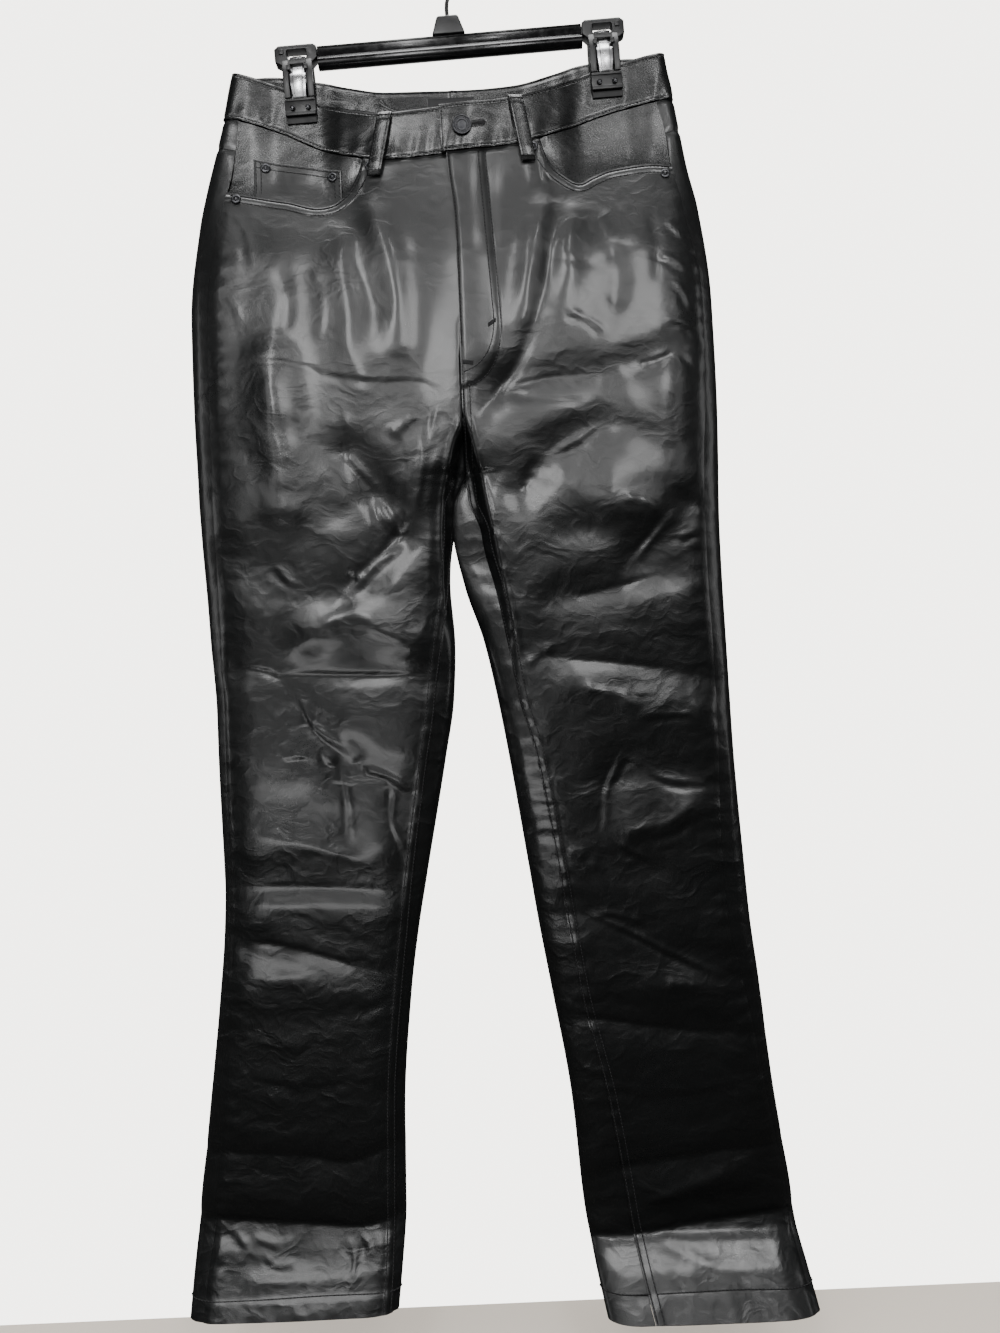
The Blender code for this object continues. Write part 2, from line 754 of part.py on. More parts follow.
def coin_pocket():
    first, last = COIN_COLUMNS
    columns = []
    for share in column_shares(LEFT)[first:last + 1]:
        around_of = front_column(LEFT, share, SEAM_INSET)
        drops = pocket_drops(LEFT, around_of)[1:]
        columns.append([(around_of(drop), drop) for drop in drops])
    grid = list(zip(*columns))
    return sunk_shell("coin_pocket", FAUX_LEATHER, LEFT, grid, COIN_ABOVE, COIN_THICKNESS)


PATCH_LIFT = 0.8
PATCH_THICKNESS = 1.2
PATCH_COLUMNS = (5.5, 6, 7, 8, 9, 9.7)
PATCH_ROWS = 4
PATCH_SIDE, PATCH_POINT = 236.0, 256.0


def on_back_panel(side, column, drop, lift):
    """A point over the back panel's own facets, at a part of the way between its columns."""
    rows = [POCKET_BASE] + hip_rows()
    i = min(bisect_right(rows, drop), len(rows) - 1) - 1
    j = min(int(column), BACK_COLUMNS - 1)
    down, across = (drop - rows[i]) / (rows[i + 1] - rows[i]), column - j
    lines = []
    for step in (j, j + 1):
        share = step / BACK_COLUMNS
        ends = [cloth_point(side, back_around(side, share, row), row, lift) for row in rows[i:i + 2]]
        lines.append(ends[0].lerp(ends[1], down))
    return lines[0].lerp(lines[1], across)


def back_pocket(side):
    """A plain patch pocket with a blunt point, made from the back panel's points."""
    rows = [POCKET_BASE] + hip_rows()[:PATCH_ROWS]
    first, last = PATCH_COLUMNS[0], PATCH_COLUMNS[-1]
    outside, inside = [], []
    for row in rows:
        outer_row, inner_row = [], []
        for column in PATCH_COLUMNS:
            off = abs(2 * (column - first) / (last - first) - 1)
            drop = row
            if row == rows[-1]:
                drop = PATCH_POINT + (PATCH_SIDE - PATCH_POINT) * off
            outer_row.append(on_back_panel(side, column, drop, PATCH_LIFT + PATCH_THICKNESS))
            inner_row.append(on_back_panel(side, column, drop, PATCH_LIFT))
        outside.append(outer_row)
        inside.append(inner_row)
    return wall(f"back_pocket_{SIDE_NAME[side]}", outside, inside, FAUX_LEATHER)


# Belt loops: x at the top and bottom, the side and face they are sewn to.
BeltLoop = namedtuple("BeltLoop", "name side face top_x bottom_x length")
BELT_LOOPS = (
    BeltLoop("belt_loop_front_left", LEFT, FRONT, -55.6, -67.7, 57),
    BeltLoop("belt_loop_front_right", RIGHT, FRONT, 55.2, 64.7, 60),
    BeltLoop("belt_loop_back_left", LEFT, BACK, -104, -108, 58),
    BeltLoop("belt_loop_back_right", RIGHT, BACK, 104, 108, 58),
)
LOOP_WIDTH = 12.0
LOOP_THICKNESS = 1.8
LOOP_LIFTS = (0.8, 2.4, 3.1, 3.3, 3.2, 2.8, 1.4)


def loop_rows(side, face, top_x, bottom_x, length):
    end = BAND_END[side] if face == FRONT else None
    rows = []
    for i, lift in enumerate(LOOP_LIFTS):
        down = i / (len(LOOP_LIFTS) - 1)
        middle = top_x + (bottom_x - top_x) * down
        start = waist_edge_at[face](middle) + 0.8
        drop = start + (length - 0.8) * down
        row = []
        for across in (-0.5, 0.0, 0.5):
            x = middle + across * LOOP_WIDTH
            around = around_at(side, face, x, drop, end)
            lifted = BAND_PROUD + lift
            if face == FRONT:
                lifted += (BAND + SEAM_GAP) * fly_lap(side, x, drop)
            outer = cloth_point(side, around, drop, lifted + LOOP_THICKNESS, end)
            inner = cloth_point(side, around, drop, lifted, end)
            row.append((outer, inner))
        rows.append(row)
    return rows


def belt_loop(name, rows):
    outside = [[pair[0] for pair in row] for row in rows]
    inside = [[pair[1] for pair in row] for row in rows]
    return wall(name, outside, inside, FAUX_LEATHER_BAND)


def belt_loop_middle():
    """The loop over the centre back seam, with a row point on each side of it."""
    rows = []
    for i, lift in enumerate(LOOP_LIFTS):
        down = i / (len(LOOP_LIFTS) - 1)
        drop = waist_edge_at[BACK](0.0) + 0.8 + 57.0 * down
        row = []
        for x, side in ((-6.0, LEFT), (0.0, RIGHT), (6.0, RIGHT)):
            around = around_at(side, BACK, x, drop)
            around = max(around, -0.995)
            lifted = BAND_PROUD + lift
            outer = cloth_point(side, around, drop, lifted + LOOP_THICKNESS)
            inner = cloth_point(side, around, drop, lifted)
            row.append((outer, inner))
        rows.append(row)
    return belt_loop("belt_loop_back_middle", rows)


LABEL_SIZE = (40.0, 26.0)


def inside_label():
    """The bare label behind the waistband, flat between two points of its inner wall."""
    width, height = LABEL_SIZE
    outside, inside = [], []
    for down in spread(0, 1, 2):
        drop = waist_edge_at[BACK](0.0) + 7.0 + height * down
        outer_row, inner_row = [], []
        for across in spread(-0.5, 0.5, 4):
            x = width * across
            side = LEFT if x < 0 else RIGHT
            around = max(around_at(side, BACK, x, drop), -0.995)
            depth = BAND_PROUD - BAND - 0.8
            outer_row.append(cloth_point(side, around, drop, depth))
            inner_row.append(cloth_point(side, around, drop, depth - 0.8))
        outside.append(outer_row)
        inside.append(inner_row)
    return wall("inside_label", outside, inside, LABEL_CLOTH)


# ---- small hardware on the cloth ----


def turned(name, profile, material, steps):
    """A turned piece from a (radius, height) profile in millimetres, top first."""
    mesh = bpy.data.meshes.new(name)
    points = [(radius * MM, 0.0, height * MM) for radius, height in profile]
    edges = [(i, i + 1) for i in range(len(points) - 1)]
    mesh.from_pydata(points, edges, [])
    item = add_object(name, mesh, material)
    screw = item.modifiers.new("turn", "SCREW")
    screw.steps = steps
    screw.render_steps = steps
    screw.use_merge_vertices = True
    screw.merge_threshold = 0.00001
    return item


RIVET_PROFILE = ((0, 1.3), (1.6, 1.3), (2.2, 1.0), (3.4, 1.1), (4.2, 0.5), (4.2, 0), (0, 0))
BUTTON_PROFILE = (
    (0, 2.2), (5.0, 2.2), (6.0, 2.6), (7.4, 2.6), (8.4, 1.6), (8.4, 0.6), (7.4, 0), (0, 0),
)


def fasten(item, side, face, x, drop, lift, end=None):
    """Sets a turned piece on the cloth with its axis along the cloth's normal."""
    around = around_at(side, face, x, drop, end)
    base = cloth_point(side, around, drop, lift, end)
    above = cloth_point(side, around, drop, lift + 1.0, end)
    item.location = base
    item.rotation_euler = (above - base).to_track_quat("Z", "Y").to_euler()
    return item


# Rivets: x, drop and whether they sit on the sunk coin pocket.
Rivet = namedtuple("Rivet", "name side x drop on_coin")
RIVETS = (
    Rivet("rivet_left_inner", LEFT, -71.5, 91.0, False),
    Rivet("rivet_left_outer", LEFT, -187.0, 114.5, False),
    Rivet("rivet_right_inner", RIGHT, 69.5, 80.0, False),
    Rivet("rivet_right_outer", RIGHT, 182.0, 107.0, False),
    Rivet("rivet_coin_outer", LEFT, -162.0, 85.0, True),
    Rivet("rivet_coin_inner", LEFT, -105.0, 96.0, True),
)
RIVET_LIFT = 0.6
COIN_RIVET_LIFT = 0.5
BUTTON_X, BUTTON_DROP = 9.0, 63.0
BUTTON_LIFT = 0.6


# ---- the hanger ----


def hanger_piece(name, data, material, place=(0, 0, 0)):
    item = add_object(name, data, material, hanger)
    item.location = Vector(place) * MM
    return item


def hook():
    """Wire from the boss, sweeping out and over the origin to its open end."""
    centre = WIRE_RADIUS - HOOK_RADIUS
    start_angle, end_angle = math.radians(-35), math.radians(208)
    first = Vector((HOOK_RADIUS * math.cos(start_angle), centre + HOOK_RADIUS * math.sin(start_angle)))
    tangent = Vector((-math.sin(start_angle), math.cos(start_angle)))
    base = Vector((0.0, BOSS_TOP + SEAM_GAP))
    bend = Vector((0.0, STEM_TOP))
    points = [base, bend]
    for i in range(1, 7):
        t = i / 7
        pull = (bend, bend + Vector((0, 13)), first - tangent * 13, first)
        weights = ((1 - t) ** 3, 3 * t * (1 - t) ** 2, 3 * t * t * (1 - t), t ** 3)
        points.append(sum((p * w for p, w in zip(pull, weights)), Vector((0, 0))))
    for angle in spread(start_angle, end_angle, 24):
        spot = Vector((math.cos(angle), math.sin(angle))) * HOOK_RADIUS
        points.append(spot + Vector((0, centre)))
    data = bpy.data.curves.new("hanger_hook", "CURVE")
    data.dimensions = "3D"
    data.bevel_depth = WIRE_RADIUS * MM
    data.bevel_resolution = 2
    data.use_fill_caps = True
    spline = data.splines.new("POLY")
    spline.points.add(len(points) - 1)
    for knot, point in zip(spline.points, points):
        knot.co = (point.x * MM, 0.0, point.y * MM, 1.0)
    return hanger_piece("hanger_hook", data, CHROME_WIRE)


def outline_piece(name, outline, thickness, material, turn, place):
    """A flat outline in millimetres, given its thickness and stood up."""
    data = bpy.data.curves.new(name, "CURVE")
    data.dimensions = "2D"
    data.fill_mode = "BOTH"
    data.extrude = thickness * MM / 2
    spline = data.splines.new("POLY")
    spline.points.add(len(outline) - 1)
    for knot, (across, up) in zip(spline.points, outline):
        knot.co = (across * MM, up * MM, 0.0, 1.0)
    spline.use_cyclic_u = True
    item = hanger_piece(name, data, material, place)
    item.rotation_euler = turn
    return item


def boss():
    outline = ((-10.5, 0), (10.5, 0), (12.5, -2), (14.5, -BOSS_HEIGHT), (-14.5, -BOSS_HEIGHT), (-12.5, -2))
    upright = (math.radians(90), 0, 0)
    return outline_piece("hanger_boss", outline, 9.0, BLACK_PLASTIC, upright, (0, 0, BOSS_TOP))


def bar():
    """A flat web over a round tube, running between the end frames."""
    half_web = 2.6
    start = math.asin(half_web / BAR_TUBE_RADIUS)
    outline = [(half_web, BAR_TOP), (-half_web, BAR_TOP)]
    for angle in spread(start, 2 * math.pi - start, 14):
        spot = (-BAR_TUBE_RADIUS * math.sin(angle), BAR_TUBE_Z + BAR_TUBE_RADIUS * math.cos(angle))
        outline.append(spot)
    along_x = (math.radians(90), 0, math.radians(90))
    length = 2 * (FRAME_INNER - SEAM_GAP)
    return outline_piece("hanger_bar", outline, length, BLACK_PLASTIC, along_x, (0, 0, 0))


def block(name, size, place, material, bevel, segments=2):
    mesh = bpy.data.meshes.new(name)
    build = bmesh.new()
    bmesh.ops.create_cube(build, size=1.0)
    bmesh.ops.scale(build, vec=Vector(size) * MM, verts=build.verts)
    build.to_mesh(mesh)
    build.free()
    item = hanger_piece(name, mesh, material, place)
    edge = item.modifiers.new("edge", "BEVEL")
    edge.width = bevel * MM
    edge.segments = segments
    edge.limit_method = "ANGLE"
    return item


def end_frame(side):
    middle = side * (FRAME_INNER + FRAME_OUTER) / 2
    width = FRAME_OUTER - FRAME_INNER
    name = f"end_frame_{SIDE_NAME[side]}"
    place = (middle, 0, FRAME_Z)
    item = block(name, (width, FRAME_DEPTH, FRAME_HEIGHT), place, BLACK_PLASTIC, 1.6)
    window = bpy.data.meshes.new("window")
    build = bmesh.new()
    bmesh.ops.create_cube(build, size=1.0)
    bmesh.ops.scale(build, vec=Vector((16.0, 30.0, 6.4)) * MM, verts=build.verts)
    build.to_mesh(window)
    build.free()
    cutter = bpy.data.objects.new(f"window_{SIDE_NAME[side]}", window)
    cutters.objects.link(cutter)
    cutter.parent = hanger
    cutter.location = Vector((middle, 0, FRAME_Z + 1.5)) * MM
    cutter.hide_render = True
    cutter.display_type = "WIRE"
    cut = item.modifiers.new("window", "BOOLEAN")
    cut.operation = "DIFFERENCE"
    cut.object = cutter
    return item


def spring(side, face):
    """A bowed steel strip from the end frame down to the top of a jaw plate."""
    top = FRAME_Z - FRAME_HEIGHT / 2 - SEAM_GAP - SPRING_THICKNESS / 2
    plate_middle = PAD_FACE + PAD_THICKNESS + SEAM_GAP + PLATE_THICKNESS / 2
    path = (
        (2.4, top), (6.0, top - 3.0), (8.4, top - 8.0), (9.0, top - 14.0),
        (8.3, top - 20.0), (plate_middle, JAW_TOP + SEAM_GAP),
    )
    mesh = bpy.data.meshes.new("spring")
    build = bmesh.new()
    rows = []
    for depth, height in path:
        ends = (-SPRING_WIDTH / 2, SPRING_WIDTH / 2)
        rows.append([build.verts.new(Vector((x, -face * depth, height)) * MM) for x in ends])
    for upper, lower in zip(rows, rows[1:]):
        build.faces.new((upper[0], lower[0], lower[1], upper[1]))
    build.to_mesh(mesh)
    build.free()
    face_name = "front" if face == FRONT else "back"
    name = f"clip_spring_{SIDE_NAME[side]}_{face_name}"
    item = hanger_piece(name, mesh, SPRING_STEEL, (side * CLIP_X, 0, 0))
    sheet = item.modifiers.new("sheet", "SOLIDIFY")
    sheet.thickness = SPRING_THICKNESS * MM
    sheet.offset = 0.0
    return item


def jaw(side, face):
    face_name = "front" if face == FRONT else "back"
    ending = f"{SIDE_NAME[side]}_{face_name}"
    pad_y = -face * (PAD_FACE + PAD_THICKNESS / 2)
    plate_face = PAD_FACE + PAD_THICKNESS + SEAM_GAP
    plate_y = -face * (plate_face + PLATE_THICKNESS / 2)
    x = side * CLIP_X
    pad_z = JAW_TOP - PAD_HEIGHT / 2
    plate_z = JAW_TOP - PLATE_HEIGHT / 2
    block(f"clip_pad_{ending}", (JAW_WIDTH - 1, PAD_THICKNESS, PAD_HEIGHT), (x, pad_y, pad_z),
          PAD_RUBBER, 0.3, 1)
    block(f"clip_jaw_{ending}", (JAW_WIDTH, PLATE_THICKNESS, PLATE_HEIGHT), (x, plate_y, plate_z),
          BLACK_PLASTIC, 0.5)
    pin_y = -face * (plate_face + PLATE_THICKNESS + SEAM_GAP)
    for number, offset in (("a", -PIN_SPACING / 2), ("b", PIN_SPACING / 2)):
        pin = turned(f"clip_pin_{ending}_{number}", PIN_PROFILE, SPRING_STEEL, 8)
        pin.parent = hanger
        pin.location = Vector((x + offset, pin_y, plate_z - 1.0)) * MM
        pin.rotation_euler = (math.radians(90 * face), 0, 0)


PIN_PROFILE = ((0, 0.9), (1.3, 0.8), (2.0, 0.3), (2.0, 0), (0, 0))


# ---- the whole object ----

for side in (LEFT, RIGHT):
    front_panel(side)
    back_panel(side)
    back_yoke(side)
    waistband(side)
    pocket_facing(side)
    back_pocket(side)
coin_pocket()
for name, side, face, top_x, bottom_x, length in BELT_LOOPS:
    belt_loop(name, loop_rows(side, face, top_x, bottom_x, length))
belt_loop_middle()
inside_label()
for name, side, x, drop, on_coin in RIVETS:
    rivet = turned(name, RIVET_PROFILE, GUNMETAL, 12)
    ground = COIN_ABOVE - facing_depth(side, x, drop) + COIN_RIVET_LIFT if on_coin else 0.0
    fasten(rivet, side, FRONT, x, drop, ground + RIVET_LIFT)
button = turned("waist_button", BUTTON_PROFILE, GUNMETAL, 18)
button_ground = BAND_PROUD + BAND + SEAM_GAP
fasten(button, RIGHT, FRONT, BUTTON_X, BUTTON_DROP, button_ground + BUTTON_LIFT, BAND_END[RIGHT])

hanger = bpy.data.objects.new("hanger_frame", None)
model.objects.link(hanger)
hanger.rotation_euler = (0, -HANGER_TILT, 0)
hook()
boss()
bar()
for side in (LEFT, RIGHT):
    end_frame(side)
    for face in (FRONT, BACK):
        spring(side, face)
        jaw(side, face)
bpy.context.view_layer.update()
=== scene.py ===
# Faux leather trousers on a clip hanger: creased cloth, stitching, finishes, light and camera.
#
# The cloth is worked out in millimetres and turned to metres when a mesh is made. "Drop" is the
# height below the waist, side -1 is the leg at -X and side 1 the leg at +X. "Around" runs round
# a leg's flat tube: 0 at the outer fold, 1 at the inner fold by the front, -1 by the back.

import math

import bmesh
import bpy
import numpy as np
from mathutils import Matrix, Vector
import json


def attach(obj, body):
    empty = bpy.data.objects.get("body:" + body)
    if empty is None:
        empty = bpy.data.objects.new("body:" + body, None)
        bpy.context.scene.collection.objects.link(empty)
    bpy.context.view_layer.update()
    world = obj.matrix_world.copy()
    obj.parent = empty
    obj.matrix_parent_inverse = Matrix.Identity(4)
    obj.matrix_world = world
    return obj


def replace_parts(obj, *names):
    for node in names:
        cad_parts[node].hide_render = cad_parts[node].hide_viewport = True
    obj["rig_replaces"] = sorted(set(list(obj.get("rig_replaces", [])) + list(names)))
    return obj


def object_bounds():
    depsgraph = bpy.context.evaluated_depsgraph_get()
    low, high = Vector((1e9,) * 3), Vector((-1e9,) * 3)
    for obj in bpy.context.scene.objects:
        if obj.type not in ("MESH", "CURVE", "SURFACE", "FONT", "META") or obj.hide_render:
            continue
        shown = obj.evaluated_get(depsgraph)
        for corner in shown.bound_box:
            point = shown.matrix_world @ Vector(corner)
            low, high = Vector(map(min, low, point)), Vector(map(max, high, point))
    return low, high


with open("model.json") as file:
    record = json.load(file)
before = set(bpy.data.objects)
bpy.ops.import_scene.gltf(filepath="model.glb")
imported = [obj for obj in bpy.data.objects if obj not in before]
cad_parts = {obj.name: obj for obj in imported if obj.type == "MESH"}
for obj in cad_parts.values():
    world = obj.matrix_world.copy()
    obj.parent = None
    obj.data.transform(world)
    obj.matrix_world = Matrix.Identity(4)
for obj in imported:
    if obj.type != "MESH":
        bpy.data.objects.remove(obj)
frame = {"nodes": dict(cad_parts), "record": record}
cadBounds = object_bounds()
print("frame loaded,", len(frame["nodes"]), "nodes")

mm = 0.001
left, right = -1, 1
front, back = 1, -1
sides = {left: "left", right: "right"}
faces = {front: "front", back: "back"}

cloth = {
    "waistZ": -111.0,
    "shift": 2.7,
    "crotchDrop": 358.0,
    "hemDrop": 1069.0,
    "thickness": 1.5,
    "bandThickness": 3.0,
    "bandProud": 0.6,
    "bandHeight": 40.0,
    "seamGap": 0.3,
    "flyLapEnd": 246.0,
    "flyUnderlap": 8.0,
    "foldFade": 26.0,
    "allowance": 2.6,
    "legsTouch": 1.3,
}

# drop, outer fold, inner fold, and how far the side seam and the inseam lie in from the folds
legOutline = {
    left: (
        (0, 188, 0, 9, 0), (39, 197, 0, 14, 0), (70, 205.5, 0, 18, 0), (100, 214, 0, 21, 0),
        (135, 222, 0, 19, 0), (215, 232.5, 0, 18.5, 0), (300, 233.5, 0, 17, 0),
        (358, 233, 1.2, 16, 0), (370, 233, 6.8, 15.5, 0), (385, 232.6, 12.7, 15, 0),
        (410, 231.8, 14.2, 14.4, 0), (455, 229.7, 18.3, 12.5, 1), (500, 228.2, 16.3, 11, 10),
        (550, 225.9, 19.4, 9, 15), (600, 226.3, 28.6, 8.5, 14.5), (700, 225.7, 49.2, 6.5, 11),
        (750, 228.8, 59.2, 6, 8), (800, 234.8, 67.3, 6.5, 7), (900, 249.2, 77.9, 11, 7),
        (1000, 263.7, 81.6, 16, 8), (1040, 266.8, 85.4, 14, 6), (1069, 268, 88.7, 14, 5),
    ),
    right: (
        (0, 187, 0, 10, 0), (39, 193.2, 0, 16, 0), (70, 198, 0, 13.5, 0), (100, 202.8, 0, 15, 0),
        (135, 210.2, 0, 15, 0), (215, 218.4, 0, 10, 0), (300, 219.4, 0, 12, 0),
        (358, 218.4, -0.9, 15, 0), (370, 218, -6.2, 15, 6), (385, 217.6, -12, 15, 14),
        (410, 217.2, -13.4, 14.5, 24), (455, 217.6, -5.7, 14.7, 25.7), (500, 218.6, 8.1, 14, 20),
        (550, 219.8, 17.9, 14, 18), (600, 221, 25.7, 15, 23), (700, 226.2, 39.2, 21, 24.5),
        (750, 229.4, 45.8, 21, 24.5), (800, 234.7, 53.4, 16, 24), (900, 244.6, 67.8, 8, 30.5),
        (1000, 258.3, 75.1, 5, 37.5), (1040, 261.7, 81.2, 5, 38), (1069, 264, 87.6, 5, 38),
    ),
}

# drop, half depth of the tube, and how far its middle leans back on the left and right leg
legDepth = (
    (0, 12, 0, 0), (65, 13, 0, 0), (180, 21, -2, -2), (270, 24, -2, -2), (358, 24, -1, -1),
    (455, 21.5, 0, 0), (600, 19, 1, 1), (750, 17, 3, 3), (900, 14.5, 8, 8), (975, 12, 9.5, 11),
    (1000, 10.5, 8, 12.5), (1022, 11, 3.5, 10), (1045, 12.5, -3, -13), (1069, 14, -11, -38),
)

# distance from the middle, and half the gap between front and back at the waist
waistMouth = ((0, 15), (60, 13), (92, 7.5), (114, 2.9), (150, 2.9), (175, 5.6), (195, 6))

# x, and how far the waistband's top edge hangs down at the front and at the back
waistEdge = (
    (-188, 1, 1), (-150, 13, 4), (-114, 30, 10), (-85, 40, 13), (-55, 46, 15), (-10, 43.5, 15),
    (20, 41, 15), (52, 37, 14), (90, 26, 9), (121, 14, 4), (150, 6, 1), (187, 0, 0),
)

# distance from the middle, and the drop of the pocket mouth
pocketMouth = {
    left: ((77.5, 84), (83, 99), (93, 114), (106, 122.5), (117, 124), (144, 117), (205, 105)),
    right: (
        (75.5, 73), (80, 88), (93, 104), (107.6, 112), (119, 106.5), (136, 100), (166, 97),
        (200, 100.5),
    ),
}

# drop and x of the fly's edge and of the middle seam below it
flyEdge = ((40, -7.5), (100, -4.5), (135, -1.3), (170, -0.4), (358, -1.05))

# half width, height, then x and drop of each point along the fold
bodyFolds = {
    (left, front): (
        (16, 2.6, (-65, 139), (-56, 171), (-50, 208), (-51, 245)),
        (18, -1.0, (-89, 160), (-69, 216)),
        (18, 2.2, (-94, 160), (-90, 215), (-80, 275)),
        (20, 4.0, (-161, 258), (-154, 342), (-153, 379)),
        (17, -4.0, (-95, 339), (-63, 379)),
        (19, -4.5, (-75, 378), (-57, 408)),
        (17, -3.5, (-53, 417), (-105, 462)),
        (18, 4.0, (-132, 486), (-98, 474), (-49, 499)),
        (18, -2.0, (-200, 515), (-133, 524), (-29, 527)),
        (18, -2.6, (-146, 547), (-106, 597), (-57, 627)),
        (18, -2.0, (-110, 604), (-108, 679)),
        (16, -2.0, (-73, 640), (-62, 690)),
        (24, 2.6, (-195, 662), (-108, 684)),
        (22, -2.2, (-200, 702), (-75, 708)),
        (22, 2.0, (-198, 724), (-80, 728)),
        (22, -2.0, (-200, 757), (-96, 779)),
        (24, 2.2, (-194, 790), (-130, 790)),
    ),
    (right, front): (
        (15, 2.6, (77, 139), (66, 180), (56, 229)),
        (13, -1.8, (92, 131), (80, 204), (63, 252), (43, 281), (22, 306)),
        (17, 2.2, (100, 140), (94, 185), (84, 223)),
        (17, -3.5, (37, 286), (80, 281), (120, 281)),
        (17, -3.0, (150, 273), (186, 262)),
        (18, -4.0, (118, 322), (73, 346), (48, 378)),
        (18, 3.5, (125, 388), (164, 402)),
        (18, -4.0, (184, 395), (146, 436)),
        (17, -3.5, (80, 466), (112, 462), (169, 450)),
        (19, -2.0, (59, 512), (147, 528), (194, 539)),
        (18, 2.2, (86, 542), (128, 554), (188, 571)),
        (18, -2.2, (114, 630), (145, 616), (200, 632)),
        (17, -1.8, (123, 607), (109, 658)),
        (20, 2.4, (119, 671), (160, 664), (190, 642)),
        (18, -2.0, (116, 690), (147, 700)),
        (19, -2.4, (80, 732), (160, 775), (222, 806)),
        (22, 2.0, (152, 801), (190, 808)),
        (17, -1.6, (70, 827), (198, 847)),
        (17, 3.0, (119, 996), (216, 970)),
        (15, 3.0, (135, 1030), (194, 1041), (255, 1043)),
    ),
    (left, back): (
        (20, -4.0, (-150, 275), (-60, 300)), (20, 3.5, (-170, 330), (-80, 345)),
        (19, -4.5, (-60, 370), (-130, 400)), (19, -4.0, (-190, 470), (-90, 455)),
        (19, 4.0, (-195, 540), (-60, 560)), (19, -5.0, (-70, 590), (-150, 615)),
        (19, 4.0, (-180, 660), (-90, 650)), (20, -4.0, (-200, 720), (-100, 700)),
        (20, 3.5, (-110, 780), (-200, 800)), (20, -3.5, (-210, 860), (-110, 875)),
        (19, 3.5, (-225, 945), (-110, 935)),
    ),
    (right, back): (
        (20, -4.0, (60, 290), (150, 280)), (20, 3.5, (70, 350), (160, 335)),
        (19, -4.5, (140, 395), (60, 375)), (19, -4.0, (80, 450), (180, 470)),
        (19, 4.0, (60, 548), (190, 535)), (19, -5.0, (80, 620), (170, 600)),
        (19, 4.0, (95, 655), (190, 668)), (20, -4.0, (80, 730), (190, 715)),
        (20, 3.5, (100, 790), (200, 785)), (20, -3.5, (110, 880), (220, 865)),
        (19, 3.5, (120, 930), (230, 945)),
    ),
}

# how far back the whole leg bends in, over how long above and below, then x and drop along the bend
legBends = {
    left: (
        (0.8, 6, 12, (-230, 509), (-172, 520), (-133, 524), (-60, 528), (-12, 526)),
        (0.6, 8, 12, (-232, 742), (-170, 755), (-96, 779), (-60, 786)),
        (3.4, 9, 24, (-265, 934), (-226, 936), (-164, 941), (-127, 948), (-93, 938), (-70, 931)),
        (5.2, 8, 30, (-270, 992), (-234, 995), (-167, 1001), (-116, 1005), (-88, 998), (-72, 992)),
    ),
    right: (
        (0.7, 7, 12, (34, 506), (60, 515), (147, 528), (194, 539), (224, 545)),
        (0.9, 8, 14, (56, 824), (99, 831), (150, 840), (198, 847), (240, 852)),
        (3.4, 9, 24, (66, 980), (121, 962), (167, 957), (201, 952), (247, 950), (264, 946)),
        (5.6, 8, 30, (74, 1027), (112, 1024), (165, 1018), (208, 1014), (259, 1009)),
    ),
}

